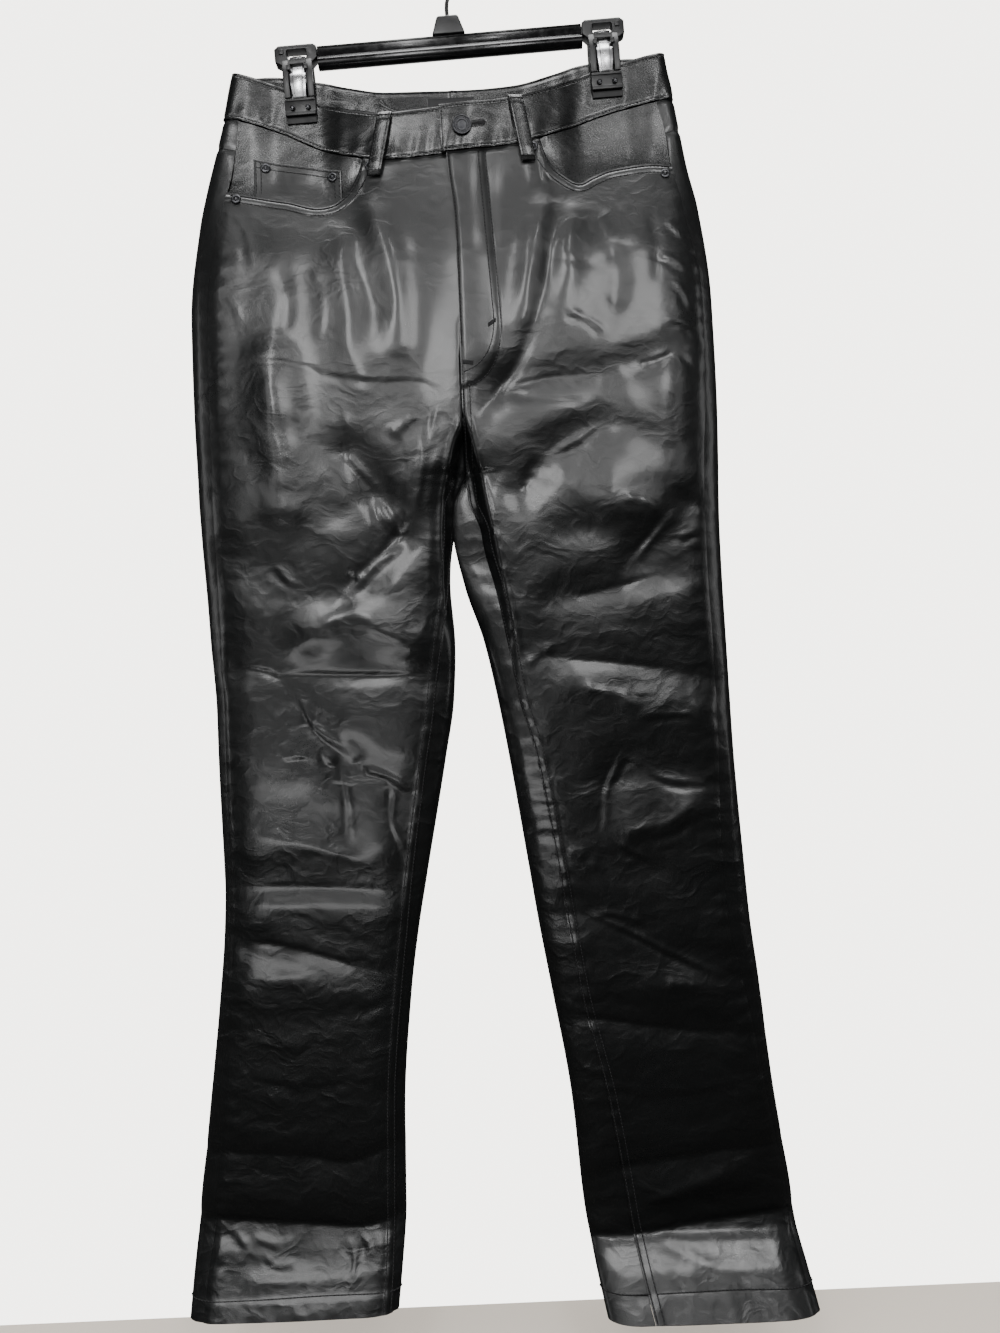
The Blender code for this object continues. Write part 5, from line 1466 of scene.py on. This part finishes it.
def waistStitches(side):
    around, drop = bandGrid(side, 130, 2)
    end = band["end"][side]
    rows = []
    keep = slice(2, -2)
    for share in (0.06, 0.94):
        row = drop[0] + (drop[1] - drop[0]) * share
        x = barePoints(side, around, row, end, False)[..., 0] - cloth["shift"]
        lap = (cloth["bandThickness"] + cloth["seamGap"]) * flyLap(side, x, row) * (around >= 0)
        lift = cloth["bandProud"] + lap + bandPucker(x, row, around) + stitch["lift"]
        rows.append(threadRow(side, around, row, lift, end)[keep])
    if side == right:
        x = np.full(12, end + 2.4)
        down = waistEdgeAt[front](x) + np.linspace(2.5, cloth["bandHeight"] - 2.5, 12)
        rows.append(seamLine(side, front, x, down, bandLapLift(x, down), end))
    return rows


def pocketStitches(side):
    mouth = pocketMouth[side]
    rows = []
    x = np.linspace(mouth[0][0] + 0.5, outerAt[side](105.0) - sideSeamAt[side](105.0) - 3, 60)
    drop = pocketMouthAt[side](x)
    slopeX, slopeD = np.gradient(x), np.gradient(drop)
    length = np.hypot(slopeX, slopeD)
    for offset in (2.2, 8.0):
        offX = x - slopeD / length * offset
        offD = drop + slopeX / length * offset
        offX = np.minimum(offX, outerAt[side](105.0) - sideSeamAt[side](105.0) - 2.5)
        inside = offD > bandBottom(front, side * offX) + 1.5
        sewnX, sewnDrop = side * offX[inside], offD[inside]
        rows.append(seamLine(side, front, sewnX, sewnDrop, frontBands(side, sewnX, sewnDrop)))
    return rows


def coinStitches():
    rows = []
    innerX, outerX = coin["innerX"], coin["outerX"]
    x = np.linspace(outerX + 2, innerX - 2, 24)
    for below in (1.8, 6.6):
        drop = coinTop(x) + below
        rows.append(seamLine(left, front, x, drop, coinLift(x, drop)))
    for inset in (1.8, 6.0):
        for edge, bottom, count in ((innerX - inset, 113, 14), (outerX + inset, 106, 12)):
            down = np.linspace(coinTop(edge) + 2, bottom, count)
            rows.append(seamLine(left, front, edge, down, coinLift(edge, down)))
    return rows


def flyStitches():
    rows = []
    for inward, first in ((0.0, 84.0), (6.0, 84.0)):
        drop = np.concatenate((np.linspace(first, 214, 40), np.linspace(217, fly["curveEnd"] - 0.5, 50)))
        x = flyStitchX(drop) - inward
        if inward:
            shrink = 1 - inward / 40
            lower = np.minimum(fly["curveStart"] + (drop - fly["curveStart"]) / shrink, fly["curveEnd"])
            x = flyStitchX(lower) - inward
            x = np.where(drop < fly["curveStart"], flyStitchX(drop) - inward, x)
        keep = x > flyEdgeAt(drop) + 2.0
        x, drop = x[keep], drop[keep]
        rows.append(seamLine(right, front, x, drop, flyLift(x, drop)))
    drop = np.linspace(270, 352, 30)
    for beside in (1.6, 7.0):
        x = flyEdgeAt(drop) + beside
        rows.append(seamLine(right, front, x, drop, lapLift(right, x, drop)))
    drop = np.linspace(84, 252, 50)
    x = flyEdgeAt(drop) + 1.8
    rows.append(seamLine(right, front, x, drop, flyLift(x, drop)))
    return rows


def legStitches(side):
    # two rows along the inseam on the front, and one round the hem
    rows = []
    drop = np.linspace(cloth["crotchDrop"] + 8, cloth["hemDrop"] - 1, 260)
    for beside in (1.8, 7.4):
        x = side * (innerAt[side](drop) + inseamAt[side](drop) + beside)
        rows.append(seamLine(side, front, x, drop, frontBands(side, x, drop)))
    around = np.linspace(-0.995, 0.995, 150)
    level = cloth["hemDrop"] - 15.5 + 0.6 * np.sin(around * 9 + side)
    rows.append(threadRow(side, around, level, stitch["lift"] + 0.25))
    return rows


def backStitches(side):
    rows = []
    x = side * np.linspace(6, 178, 60)
    for below in (2.0, 7.6):
        rows.append(seamLine(side, back, x, yokeSeam(x) + below))
    drop = np.linspace(116, 345, 60)
    if side == right:
        for beside in (2.0, 7.6):
            x = ease((drop - 248) / 110) * flyEdgeAt(drop) + beside
            rows.append(seamLine(side, back, x, drop))
    for inset in (2.0, 7.6):
        x, drop = patchGrid(side, 24, 24, inset)
        outline = np.concatenate((x[:, 0], x[-1, 1:], x[-2::-1, -1]))
        level = np.concatenate((drop[:, 0], drop[-1, 1:], drop[-2::-1, -1]))
        rows.append(seamLine(side, back, outline, level, patch["lift"]))
    x, drop = patchGrid(side, 24, 24, 0)
    for below in (9.0, 14.0):
        rows.append(seamLine(side, back, x[0, 1:-1], drop[0, 1:-1] + below, patch["lift"]))
    return rows


def overLoop(side, face, x, drop, lift):
    points = loopPoint(side, face, x, drop, lift)
    return np.concatenate((points, (0, -face, 0) * np.ones(points.shape)), -1)


def loopStitches(row):
    side, face, topX, bottomX, length = row[1:]
    rows = []
    down = np.linspace(0.03, 0.97, 34)
    middle, start, lift = loopShape(face, topX, bottomX, down)
    drop = start + (length - 0.8) * down
    for beside in (-3.9, 3.9):
        rows.append(overLoop(side, face, middle + beside, drop, lift + stitch["lift"] + 0.1))
    height = loop["lowest"] + loop["thickness"] + (loop["highest"] - loop["lowest"]) * 0.45 + 0.9
    for share in (0.06, 0.9):
        x = middle[0] + (bottomX - topX) * share + np.linspace(-5, 5, 8)
        level = start[0] + (length - 0.8) * share + 0 * x
        rows.append(overLoop(side, face, x, level, height))
    return rows


sewn = {
    "waistStitches": waistStitches(left) + waistStitches(right),
    "pocketStitches": pocketStitches(left) + pocketStitches(right),
    "coinStitches": coinStitches(),
    "flyStitches": flyStitches(),
    "legStitchesLeft": legStitches(left),
    "legStitchesRight": legStitches(right),
    "backStitches": backStitches(left) + backStitches(right),
    "loopStitches": [line for row in loopTable for line in loopStitches(row)],
}
stitching = {}
for name, rows in sewn.items():
    slotName = "faux_leather_band" if name in ("waistStitches", "loopStitches") else "faux_leather"
    stitching[name] = sew(name, rows, slotName)


# x and drop of the buttonhole's inner end and of its round eye, then its stitches
buttonhole = {
    "from": (16.0, 61.6),
    "to": (27.6, 60.2),
    "eye": 1.7,
    "eyePoints": 15,
    "beside": 1.3,
    "count": 17,
    "inner": 0.4,
    "outer": 0.9,
}


def crossStitches(start, end, reach, count, liftOf, side=right, endX=None):
    # short threads across a line, reach to either side of it
    rows = []
    for share in np.linspace(0, 1, count):
        x, drop = np.array(start) * (1 - share) + np.array(end) * share
        for low, high in reach:
            level = np.array([drop + low, drop + high])
            rows.append(seamLine(side, front, x, level, liftOf(x, level) + 0.05, endX))
    return rows


def makeButtonhole():
    (startX, startDrop), (endX, endDrop) = buttonhole["from"], buttonhole["to"]
    bandEnd, beside = band["end"][right], buttonhole["beside"]
    slitX, slitDrop = np.linspace(startX, endX, 8), np.linspace(startDrop, endDrop, 8)
    angle = np.linspace(0, 2 * math.pi, buttonhole["eyePoints"])
    eyeX = endX + buttonhole["eye"] * np.cos(angle)
    eyeDrop = endDrop + buttonhole["eye"] * np.sin(angle)
    eyeLift = bandLapLift(eyeX, eyeDrop)
    slit = [
        seamLine(right, front, slitX, slitDrop, bandLapLift(slitX, slitDrop), bandEnd),
        seamLine(right, front, (eyeX + endX) / 2, (eyeDrop + endDrop) / 2, eyeLift, bandEnd),
    ]
    # the slit is only the dark tube, with threads too small to show: painted shade in the cut
    slitSizes = {"length": 0.02, "thread": 0.02, "groove": 0.7, "sink": 0.4}
    stitching["buttonholeSlit"] = sew("buttonholeSlit", slit, "faux_leather_band", **slitSizes)
    near, far = beside - buttonhole["inner"], beside + buttonhole["outer"]
    spans = ((-far, -near), (near, far))
    count = buttonhole["count"]
    rows = crossStitches((startX, startDrop), (endX, endDrop), spans, count, bandLapLift, right, bandEnd)
    rows.append(seamLine(right, front, eyeX, eyeDrop, eyeLift, bandEnd))
    threadSizes = {"pitch": 1.2, "length": 1.3, "thread": 0.6, "groove": 0.02, "sink": 0.3}
    stitching["buttonholeThread"] = sew("buttonholeThread", rows, "faux_leather_band", **threadSizes)


makeButtonhole()


# start and end of each bar tack on the fly, as x and drop
barTacks = (((1.4, 266.4), (10.0, 267.4)), ((24.4, 236.0), (30.5, 232.0)))
tackRows = []
for start, end in barTacks:
    tackRows += crossStitches(start, end, ((-1.1, 1.1),), 12, lambda x, drop: flyLift(x, drop) + 0.25)
stitching["barTacks"] = sew("barTacks", tackRows, pitch=1.1, length=1.5, thread=0.75, groove=0.02, sink=0.3)
print("rows of stitches:", sum(len(rows) for rows in sewn.values()))

# hanger pieces, in the hanger's own tilted frame

hanger = {
    "tilt": -2.4,
    "barReach": 114.9,
    "barTop": -86.3,
    "tubeRadius": 5.6,
    "tubeZ": -100.4,
    "frameInner": 115.2,
    "frameOuter": 151.6,
    "clipX": 132.6,
    "bossTop": -69.8,
    "jawTop": -132.5,
    "plateDepth": 5.6,
}
tilted = Matrix.Rotation(math.radians(hanger["tilt"]), 4, "Y")


def finishPiece(build, node, slotName, bevel=0.0, segments=3, tilt=True):
    # bmesh in millimetres to a finished piece that stands in for a CAD node
    bmesh.ops.remove_doubles(build, verts=build.verts, dist=0.001)
    bmesh.ops.recalc_face_normals(build, faces=build.faces)
    name = pieceName(node)
    mesh = bpy.data.meshes.new(name)
    build.to_mesh(mesh)
    build.free()
    mesh.transform(Matrix.Scale(mm, 4))
    if tilt:
        mesh.transform(tilted)
    item = addItem(name, mesh)
    if bevel:
        edge = item.modifiers.new("edge", "BEVEL")
        edge.width = bevel * mm
        edge.segments = segments
        edge.limit_method = "ANGLE"
        edge.angle_limit = math.radians(32)
        applyModifiers(item)
    item.data.shade_smooth()
    item.data.set_sharp_from_angle(angle=math.radians(38))
    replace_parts(item, node)
    dress(item, slotName)
    return item


def addPrism(build, outline, low, high, across="y"):
    # a closed outline of (x, z) pairs drawn out along Y, or of (y, z) pairs along X
    ends = []
    for depth in (low, high):
        if across == "y":
            ends.append([build.verts.new((x, depth, z)) for x, z in outline])
        else:
            ends.append([build.verts.new((depth, y, z)) for y, z in outline])
    count = len(outline)
    build.faces.new(ends[0])
    build.faces.new(ends[1][::-1])
    for i in range(count):
        j = (i + 1) % count
        build.faces.new((ends[0][i], ends[1][i], ends[1][j], ends[0][j]))


def addRing(build, outline, inner, low, high):
    # a frame: an outline with a hole of as many corners
    rings = [[build.verts.new((x, y, z)) for x, z in loop] for y in (low, high) for loop in (outline, inner)]
    count = len(outline)
    for i in range(count):
        j = (i + 1) % count
        outer0, inner0, outer1, inner1 = rings
        build.faces.new((outer0[i], inner0[i], inner0[j], outer0[j]))
        build.faces.new((outer1[i], outer1[j], inner1[j], inner1[i]))
        build.faces.new((outer0[i], outer0[j], outer1[j], outer1[i]))
        build.faces.new((inner0[i], inner1[i], inner1[j], inner0[j]))


def addBox(build, low, high):
    outline = ((low[0], low[2]), (high[0], low[2]), (high[0], high[2]), (low[0], high[2]))
    addPrism(build, outline, low[1], high[1])


def makeBar():
    # a flat flange over a round tube, with a thin lip along the flange's top
    build = bmesh.new()
    reach, top, radius, tubeZ = (hanger[key] for key in ("barReach", "barTop", "tubeRadius", "tubeZ"))
    half = 2.4
    start = math.asin(half / radius)
    outline = [(3.0, top), (-3.0, top), (-3.0, top - 1.4), (-half, top - 1.8)]
    for angle in np.linspace(start, 2 * math.pi - start, 30):
        outline.append((-radius * math.sin(angle), tubeZ + radius * math.cos(angle)))
    outline += [(half, top - 1.8), (3.0, top - 1.4)]
    addPrism(build, outline, -reach, reach, "x")
    return finishPiece(build, "hanger_bar", "black_plastic", 0.3, 2)


def makeBoss():
    build = bmesh.new()
    top = hanger["bossTop"]
    outline = ((-8.2, 0), (8.2, 0), (9.6, -1.4), (14.4, -16.1), (-14.4, -16.1), (-9.6, -1.4))
    addPrism(build, [(x, top + z) for x, z in outline], -4.4, 4.4)
    return finishPiece(build, "hanger_boss", "black_plastic", 1.1)


def makeEndFrame(side):
    # a rounded frame round a window, with two legs running down beside the steel strip
    build = bmesh.new()
    middle = (hanger["frameInner"] + hanger["frameOuter"]) / 2
    wide = (hanger["frameOuter"] - hanger["frameInner"]) / 2
    outline = ((-wide, -1.5), (-wide, 8), (-wide + 2.5, 9.9), (wide - 3.5, 9.9), (wide, 7), (wide, -3.5),
               (wide - 5, -6.5), (-wide + 5, -6.5))
    window = ((-8.5, 0), (-8.5, 5.4), (-7.5, 6.4), (7.5, 6.4), (8.5, 5.4), (8.5, 0), (7.6, -2.2),
              (-7.6, -2.2))
    z = -95.0
    place = [(middle + x, z + up) for x, up in outline]
    hole = [(middle + x - 0.8, z + up) for x, up in window]
    addRing(build, [(side * x, up) for x, up in place], [(side * x, up) for x, up in hole], -5.4, 5.4)
    x = hanger["clipX"]
    for beside in (-1, 1):
        inner, outer = x + beside * 7.7, x + beside * 12.9
        low, high = min(inner, outer), max(inner, outer)
        for face in (front, back):
            path = ((3.0, z - 1.5), (5.4, z - 3), (8.6, z - 12), (9.2, z - 22), (7.6, z - 36.6),
                    (5.9, z - 36.6), (7.0, z - 22), (6.2, z - 13), (3.4, z - 7))
            addPrism(build, [(-face * y, up) for y, up in path], side * low, side * high, "x")
    for face in (front, back):
        # the pivots at the strip's shoulders, and a moulded rib beside the window
        for beside in (-1, 1):
            spot = side * (x + beside * 7.4)
            low, high = sorted((-face * 6.4, -face * 9.4))
            addBox(build, (spot - 1.8, low, z - 13.5), (spot + 1.8, high, z - 9.0))
        ribX, ribY = side * (middle + 12.2), -face * 5.9
        addBox(build, (ribX - 2, ribY - 0.4, z + 2.2), (ribX + 2, ribY + 0.4, z + 6.4))
    return finishPiece(build, f"end_frame_{sides[side]}", "black_plastic", 0.8)


def makeSpring(side, face):
    # a bowed steel strip with folded sides and a raised tongue down its middle
    build = bmesh.new()
    top = -105.5
    path = ((1.6, top + 12), (3.0, top + 3), (6.6, top - 3.0), (8.8, top - 8.0), (9.5, top - 14.0),
            (8.8, top - 20.0), (6.9, -132.2))
    smooth = sampledPath(path, 5)
    across = ((-7.0, -1.2), (-6.6, 0.1), (-4.3, 0.25), (-3.9, 0.9), (3.9, 0.9), (4.3, 0.25), (6.6, 0.1),
              (7.0, -1.2))
    clipX = side * hanger["clipX"]
    rows = []
    for number, (depth, z) in enumerate(smooth):
        narrow = 1 - 0.16 * ease((number / len(smooth) - 0.6) / 0.4)
        places = [(clipX + x * float(narrow), -face * (depth + up), z) for x, up in across]
        rows.append([build.verts.new(place) for place in places])
    for upper, lower in zip(rows, rows[1:]):
        for i in range(len(across) - 1):
            build.faces.new((upper[i], lower[i], lower[i + 1], upper[i + 1]))
    extruded = bmesh.ops.extrude_face_region(build, geom=list(build.faces))
    moved = [part for part in extruded["geom"] if isinstance(part, bmesh.types.BMVert)]
    bmesh.ops.translate(build, vec=(0, face * 0.7, 0), verts=moved)
    return finishPiece(build, f"clip_spring_{sides[side]}_{faces[face]}", "spring_steel", 0.15, 2)


def makeJaw(side, face):
    # a plate with a hooded top, a lip along its foot and a rib between the pins
    build = bmesh.new()
    x, top, depth = side * hanger["clipX"], hanger["jawTop"], hanger["plateDepth"]
    half = 13.4
    outline = ((-half + 1.5, top), (half - 1.5, top), (half, top - 1.5), (half, top - 14.8),
               (-half, top - 14.8), (-half, top - 1.5))
    low, high = sorted((-face * depth, -face * (depth + 1.6)))
    addPrism(build, [(x + across, up) for across, up in outline], low, high)
    for bottom, height, proud in ((-14.9, 3.4, 2.6), (-2.3, 2.2, 2.2)):
        y0, y1 = sorted((-face * (depth + 1.2), -face * (depth + proud)))
        addBox(build, (x - half + 0.4, y0, top + bottom), (x + half - 0.4, y1, top + bottom + height))
    return finishPiece(build, f"clip_jaw_{sides[side]}_{faces[face]}", "black_plastic", 0.55)


# radius and height of the turned pieces
turnedProfiles = {
    "rivet": ((0.0, 1.25), (0.7, 1.2), (1.25, 0.85), (1.45, 0.35), (2.2, 0.3), (2.6, 0.95), (3.1, 1.1),
              (3.7, 1.0), (4.25, 0.45), (4.3, -0.6)),
    "button": ((0.0, 1.5), (3.9, 1.55), (4.4, 1.95), (4.8, 1.95), (5.1, 1.6), (7.0, 1.65), (7.4, 2.3),
               (8.0, 2.3), (8.4, 1.7), (8.4, 0.5), (7.2, -0.4)),
    "pin": ((0.0, 1.6), (0.7, 1.5), (0.95, 1.1), (1.35, 1.15), (1.8, 1.5), (2.3, 1.1), (2.4, 0.4),
            (2.4, -0.3)),
}


def nodeAxis(node):
    # the middle of a turned CAD node, and the way it faces
    mesh = frame["nodes"][node].data
    points = np.empty(len(mesh.vertices) * 3)
    mesh.vertices.foreach_get("co", points)
    points = points.reshape(-1, 3)
    middle = (points.min(0) + points.max(0)) / 2
    axis = np.linalg.svd(points - points.mean(0), full_matrices=False)[2][2]
    return Vector(middle), Vector(axis)


def onPlate(node, outwards):
    # the foot and the axis of a pin, from its CAD node
    middle, axis = nodeAxis(node)
    if axis.y * outwards < 0:
        axis = -axis
    base = min((vert.co - middle).dot(axis) for vert in frame["nodes"][node].data.vertices)
    return (middle + axis * (base + 0.0002)) / mm, axis


def onCloth(side, x, drop, lift, endX=None):
    # a point on the cloth, and the way it faces there
    spots = {}
    for across, down in ((0, 0), (4, 0), (-4, 0), (0, 4), (0, -4)):
        place = (np.array([x + across]), np.array([drop + down]))
        around = aroundAt(side, front, *place, endX)
        spots[across, down] = Vector(clothPoints(side, around, place[1], lift, endX)[0])
    axis = (spots[4, 0] - spots[-4, 0]).cross(spots[0, 4] - spots[0, -4]).normalized()
    return spots[0, 0], axis if axis.y < 0 else -axis


def makeTurned(node, kind, foot, axis, steps=32):
    build = bmesh.new()
    rings = []
    for radius, height in turnedProfiles[kind]:
        if radius == 0:
            rings.append([build.verts.new((0, 0, height))])
            continue
        turn = [2 * math.pi * i / steps for i in range(steps)]
        rings.append([build.verts.new((radius * math.cos(a), radius * math.sin(a), height)) for a in turn])
    for upper, lower in zip(rings, rings[1:]):
        for i in range(steps):
            j = (i + 1) % steps
            if len(upper) == 1:
                build.faces.new((upper[0], lower[i], lower[j]))
            else:
                build.faces.new((upper[i], lower[i], lower[j], upper[j]))
    build.faces.new(rings[-1][::-1])
    if kind == "button":
        # a plain beaded ring between the rims
        for i in range(26):
            a = 2 * math.pi * i / 26
            spot = Matrix.Translation((6.1 * math.cos(a), 6.1 * math.sin(a), 1.65))
            bmesh.ops.create_icosphere(build, subdivisions=1, radius=0.6, matrix=spot)
    turn = axis.to_track_quat("Z", "Y").to_matrix().to_4x4()
    build.transform(Matrix.Translation(foot) @ turn)
    return finishPiece(build, node, "gunmetal", tilt=False)


hardware = [makeBar(), makeBoss()]
for side in sides:
    hardware.append(makeEndFrame(side))
    for face, faceName in faces.items():
        hardware += [makeSpring(side, face), makeJaw(side, face)]
        for end in ("a", "b"):
            node = f"clip_pin_{sides[side]}_{faceName}_{end}"
            hardware.append(makeTurned(node, "pin", *onPlate(node, -face), 20))

# node, side, x, drop
rivetTable = (
    ("rivet_left_inner", left, -71.5, 91), ("rivet_left_outer", left, -187, 114.5),
    ("rivet_right_inner", right, 69.5, 80), ("rivet_right_outer", right, 182, 107),
    ("rivet_coin_outer", left, -162, 85), ("rivet_coin_inner", left, -105, 96),
)
for node, side, x, drop in rivetTable:
    if "coin" in node:
        lift = float(coinLift(np.array(x), np.array(drop)))
    else:
        lift = float(frontBands(side, np.array(x), np.array(drop)))
    hardware.append(makeTurned(node, "rivet", *onCloth(side, x, drop, lift + 0.1)))
button = onCloth(right, 9.0, 63.0, float(bandLapLift(9.0, 63.0)) + 0.1, band["end"][right])
hardware.append(makeTurned("waist_button", "button", *button, 40))
for item in hardware:
    if item.name.startswith(("endFrame", "clipJaw", "hangerBoss")):
        item.data.materials[0] = mouldedPlastic
print("hardware made:", len(hardware), "pieces")

for node, item in frame["nodes"].items():
    if not item.hide_render:
        item.data.materials.clear()
        item.data.materials.append(finishes[slotOfNode[node]])

# riding

for item in list(clothPieces.values()) + list(stitching.values()) + hardware:
    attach(item, "root")

# floor, light and camera

room = {
    "floorSize": (3.0, 0.36),
    "floorMiddle": (0.0, -0.05),
    "floorBelow": 0.09,
    "floorColour": (0.80, 0.72, 0.62),
    "backdrop": (4.6, 4.5, 4.25),
    "ambient": 0.045,
}

# name, place, target, width and height, power
softLights = (
    ("hip light", (-0.34, -1.75, 0.33), (-0.08, 0.0, -0.35), (0.34, 0.8), 11.0),
    ("window", (0.46, -1.75, 0.30), (0.1, 0.0, -0.4), (0.28, 0.7), 8.0),
    ("left waist light", (-0.38, -1.75, 0.98), (-0.12, 0.0, -0.14), (0.12, 0.2), 1.5),
    ("right waist light", (0.33, -1.75, 0.98), (0.1, 0.0, -0.14), (0.13, 0.2), 1.7),
    ("overhead light", (0.0, -0.6, 2.3), (0.0, 0.0, -0.1), (2.4, 1.2), 80.0),
    ("thigh light", (-0.16, -1.75, -0.06), (0.0, 0.0, -0.5), (0.8, 0.3), 1.1),
    ("leg light", (-0.4, -1.75, -0.42), (-0.1, 0.0, -0.7), (1.5, 1.0), 1.1),
    ("hem light", (-0.27, -0.6, -0.9), (-0.24, 0.0, -1.08), (0.46, 0.13), 0.95),
    ("left hip light", (-1.0, -1.75, 0.15), (-0.2, 0.0, -0.4), (0.5, 1.0), 3.2),
    ("right hip light", (1.05, -1.75, 0.2), (0.2, 0.0, -0.4), (0.4, 0.9), 1.6),
    ("side light", (1.9, -0.5, -0.3), (0.1, 0, -0.6), (0.3, 1.5), 3.0),
    ("other side light", (-1.9, -0.4, -0.3), (-0.1, 0, -0.6), (0.3, 1.5), 3.0),
    ("back light", (0.3, 1.7, 0.6), (0, 0, -0.5), (1.2, 1.0), 10.0),
    ("back leg light", (0.0, 1.9, -0.5), (0.0, 0.0, -0.7), (1.8, 1.3), 9.0),
    ("ceiling light", (0.0, 0.6, 1.6), (0, 0.7, -1.2), (1.6, 1.0), 26.0),
)


def makeFloor():
    mesh = bpy.data.meshes.new("floor")
    width, depth = room["floorSize"]
    build = bmesh.new()
    bmesh.ops.create_grid(build, x_segments=2, y_segments=2, size=0.5)
    bmesh.ops.scale(build, vec=(width, depth, 1), verts=build.verts)
    place = (*room["floorMiddle"], cadBounds[0][2] - room["floorBelow"])
    bmesh.ops.translate(build, vec=place, verts=build.verts)
    build.to_mesh(mesh)
    build.free()
    item = addItem("floor", mesh)
    item.data.materials.append(newFinish("pale floor", room["floorColour"], 0.7)[0])
    item.visible_glossy = False


def makeBackdrop():
    world = bpy.data.worlds.new("room")
    bpy.context.scene.world = world
    world.use_nodes = True
    tree = world.node_tree
    seen = tree.nodes["Background"]
    fillInputs(tree, seen, {"Color": (*room["backdrop"], 1.0)})
    inputs = {"Color": (1.0, 0.99, 0.97, 1.0), "Strength": room["ambient"]}
    ambient = addNode(tree, "ShaderNodeBackground", inputs)
    rays = tree.nodes.new("ShaderNodeLightPath")
    inputs = {"Fac": rays.outputs["Is Camera Ray"], 1: ambient.outputs[0], 2: seen.outputs[0]}
    mixed = addNode(tree, "ShaderNodeMixShader", inputs)
    fillInputs(tree, tree.nodes["World Output"], {"Surface": mixed.outputs[0]})


def addSoftLight(name, place, target, size, power):
    data = bpy.data.lights.new(name, "AREA")
    data.shape = "ELLIPSE"
    data.size, data.size_y = size
    data.energy = power
    item = addItem(name, data)
    item.location = place
    item.rotation_euler = (Vector(target) - Vector(place)).to_track_quat("-Z", "Y").to_euler()
    item.visible_camera = False


def makeCamera():
    data = bpy.data.cameras.new("camera")
    data.lens = 27.03
    data.sensor_width = 36.0
    item = addItem("camera", data)
    upright = Matrix.Rotation(math.radians(90), 4, "X")
    roll = Matrix.Rotation(math.radians(-2.5), 4, "Z")
    item.matrix_world = Matrix.Translation((0.0242, -0.870, -0.635)) @ upright @ roll
    bpy.context.scene.camera = item


makeFloor()
makeBackdrop()
for row in softLights:
    addSoftLight(*row)
makeCamera()
print("light and camera set")
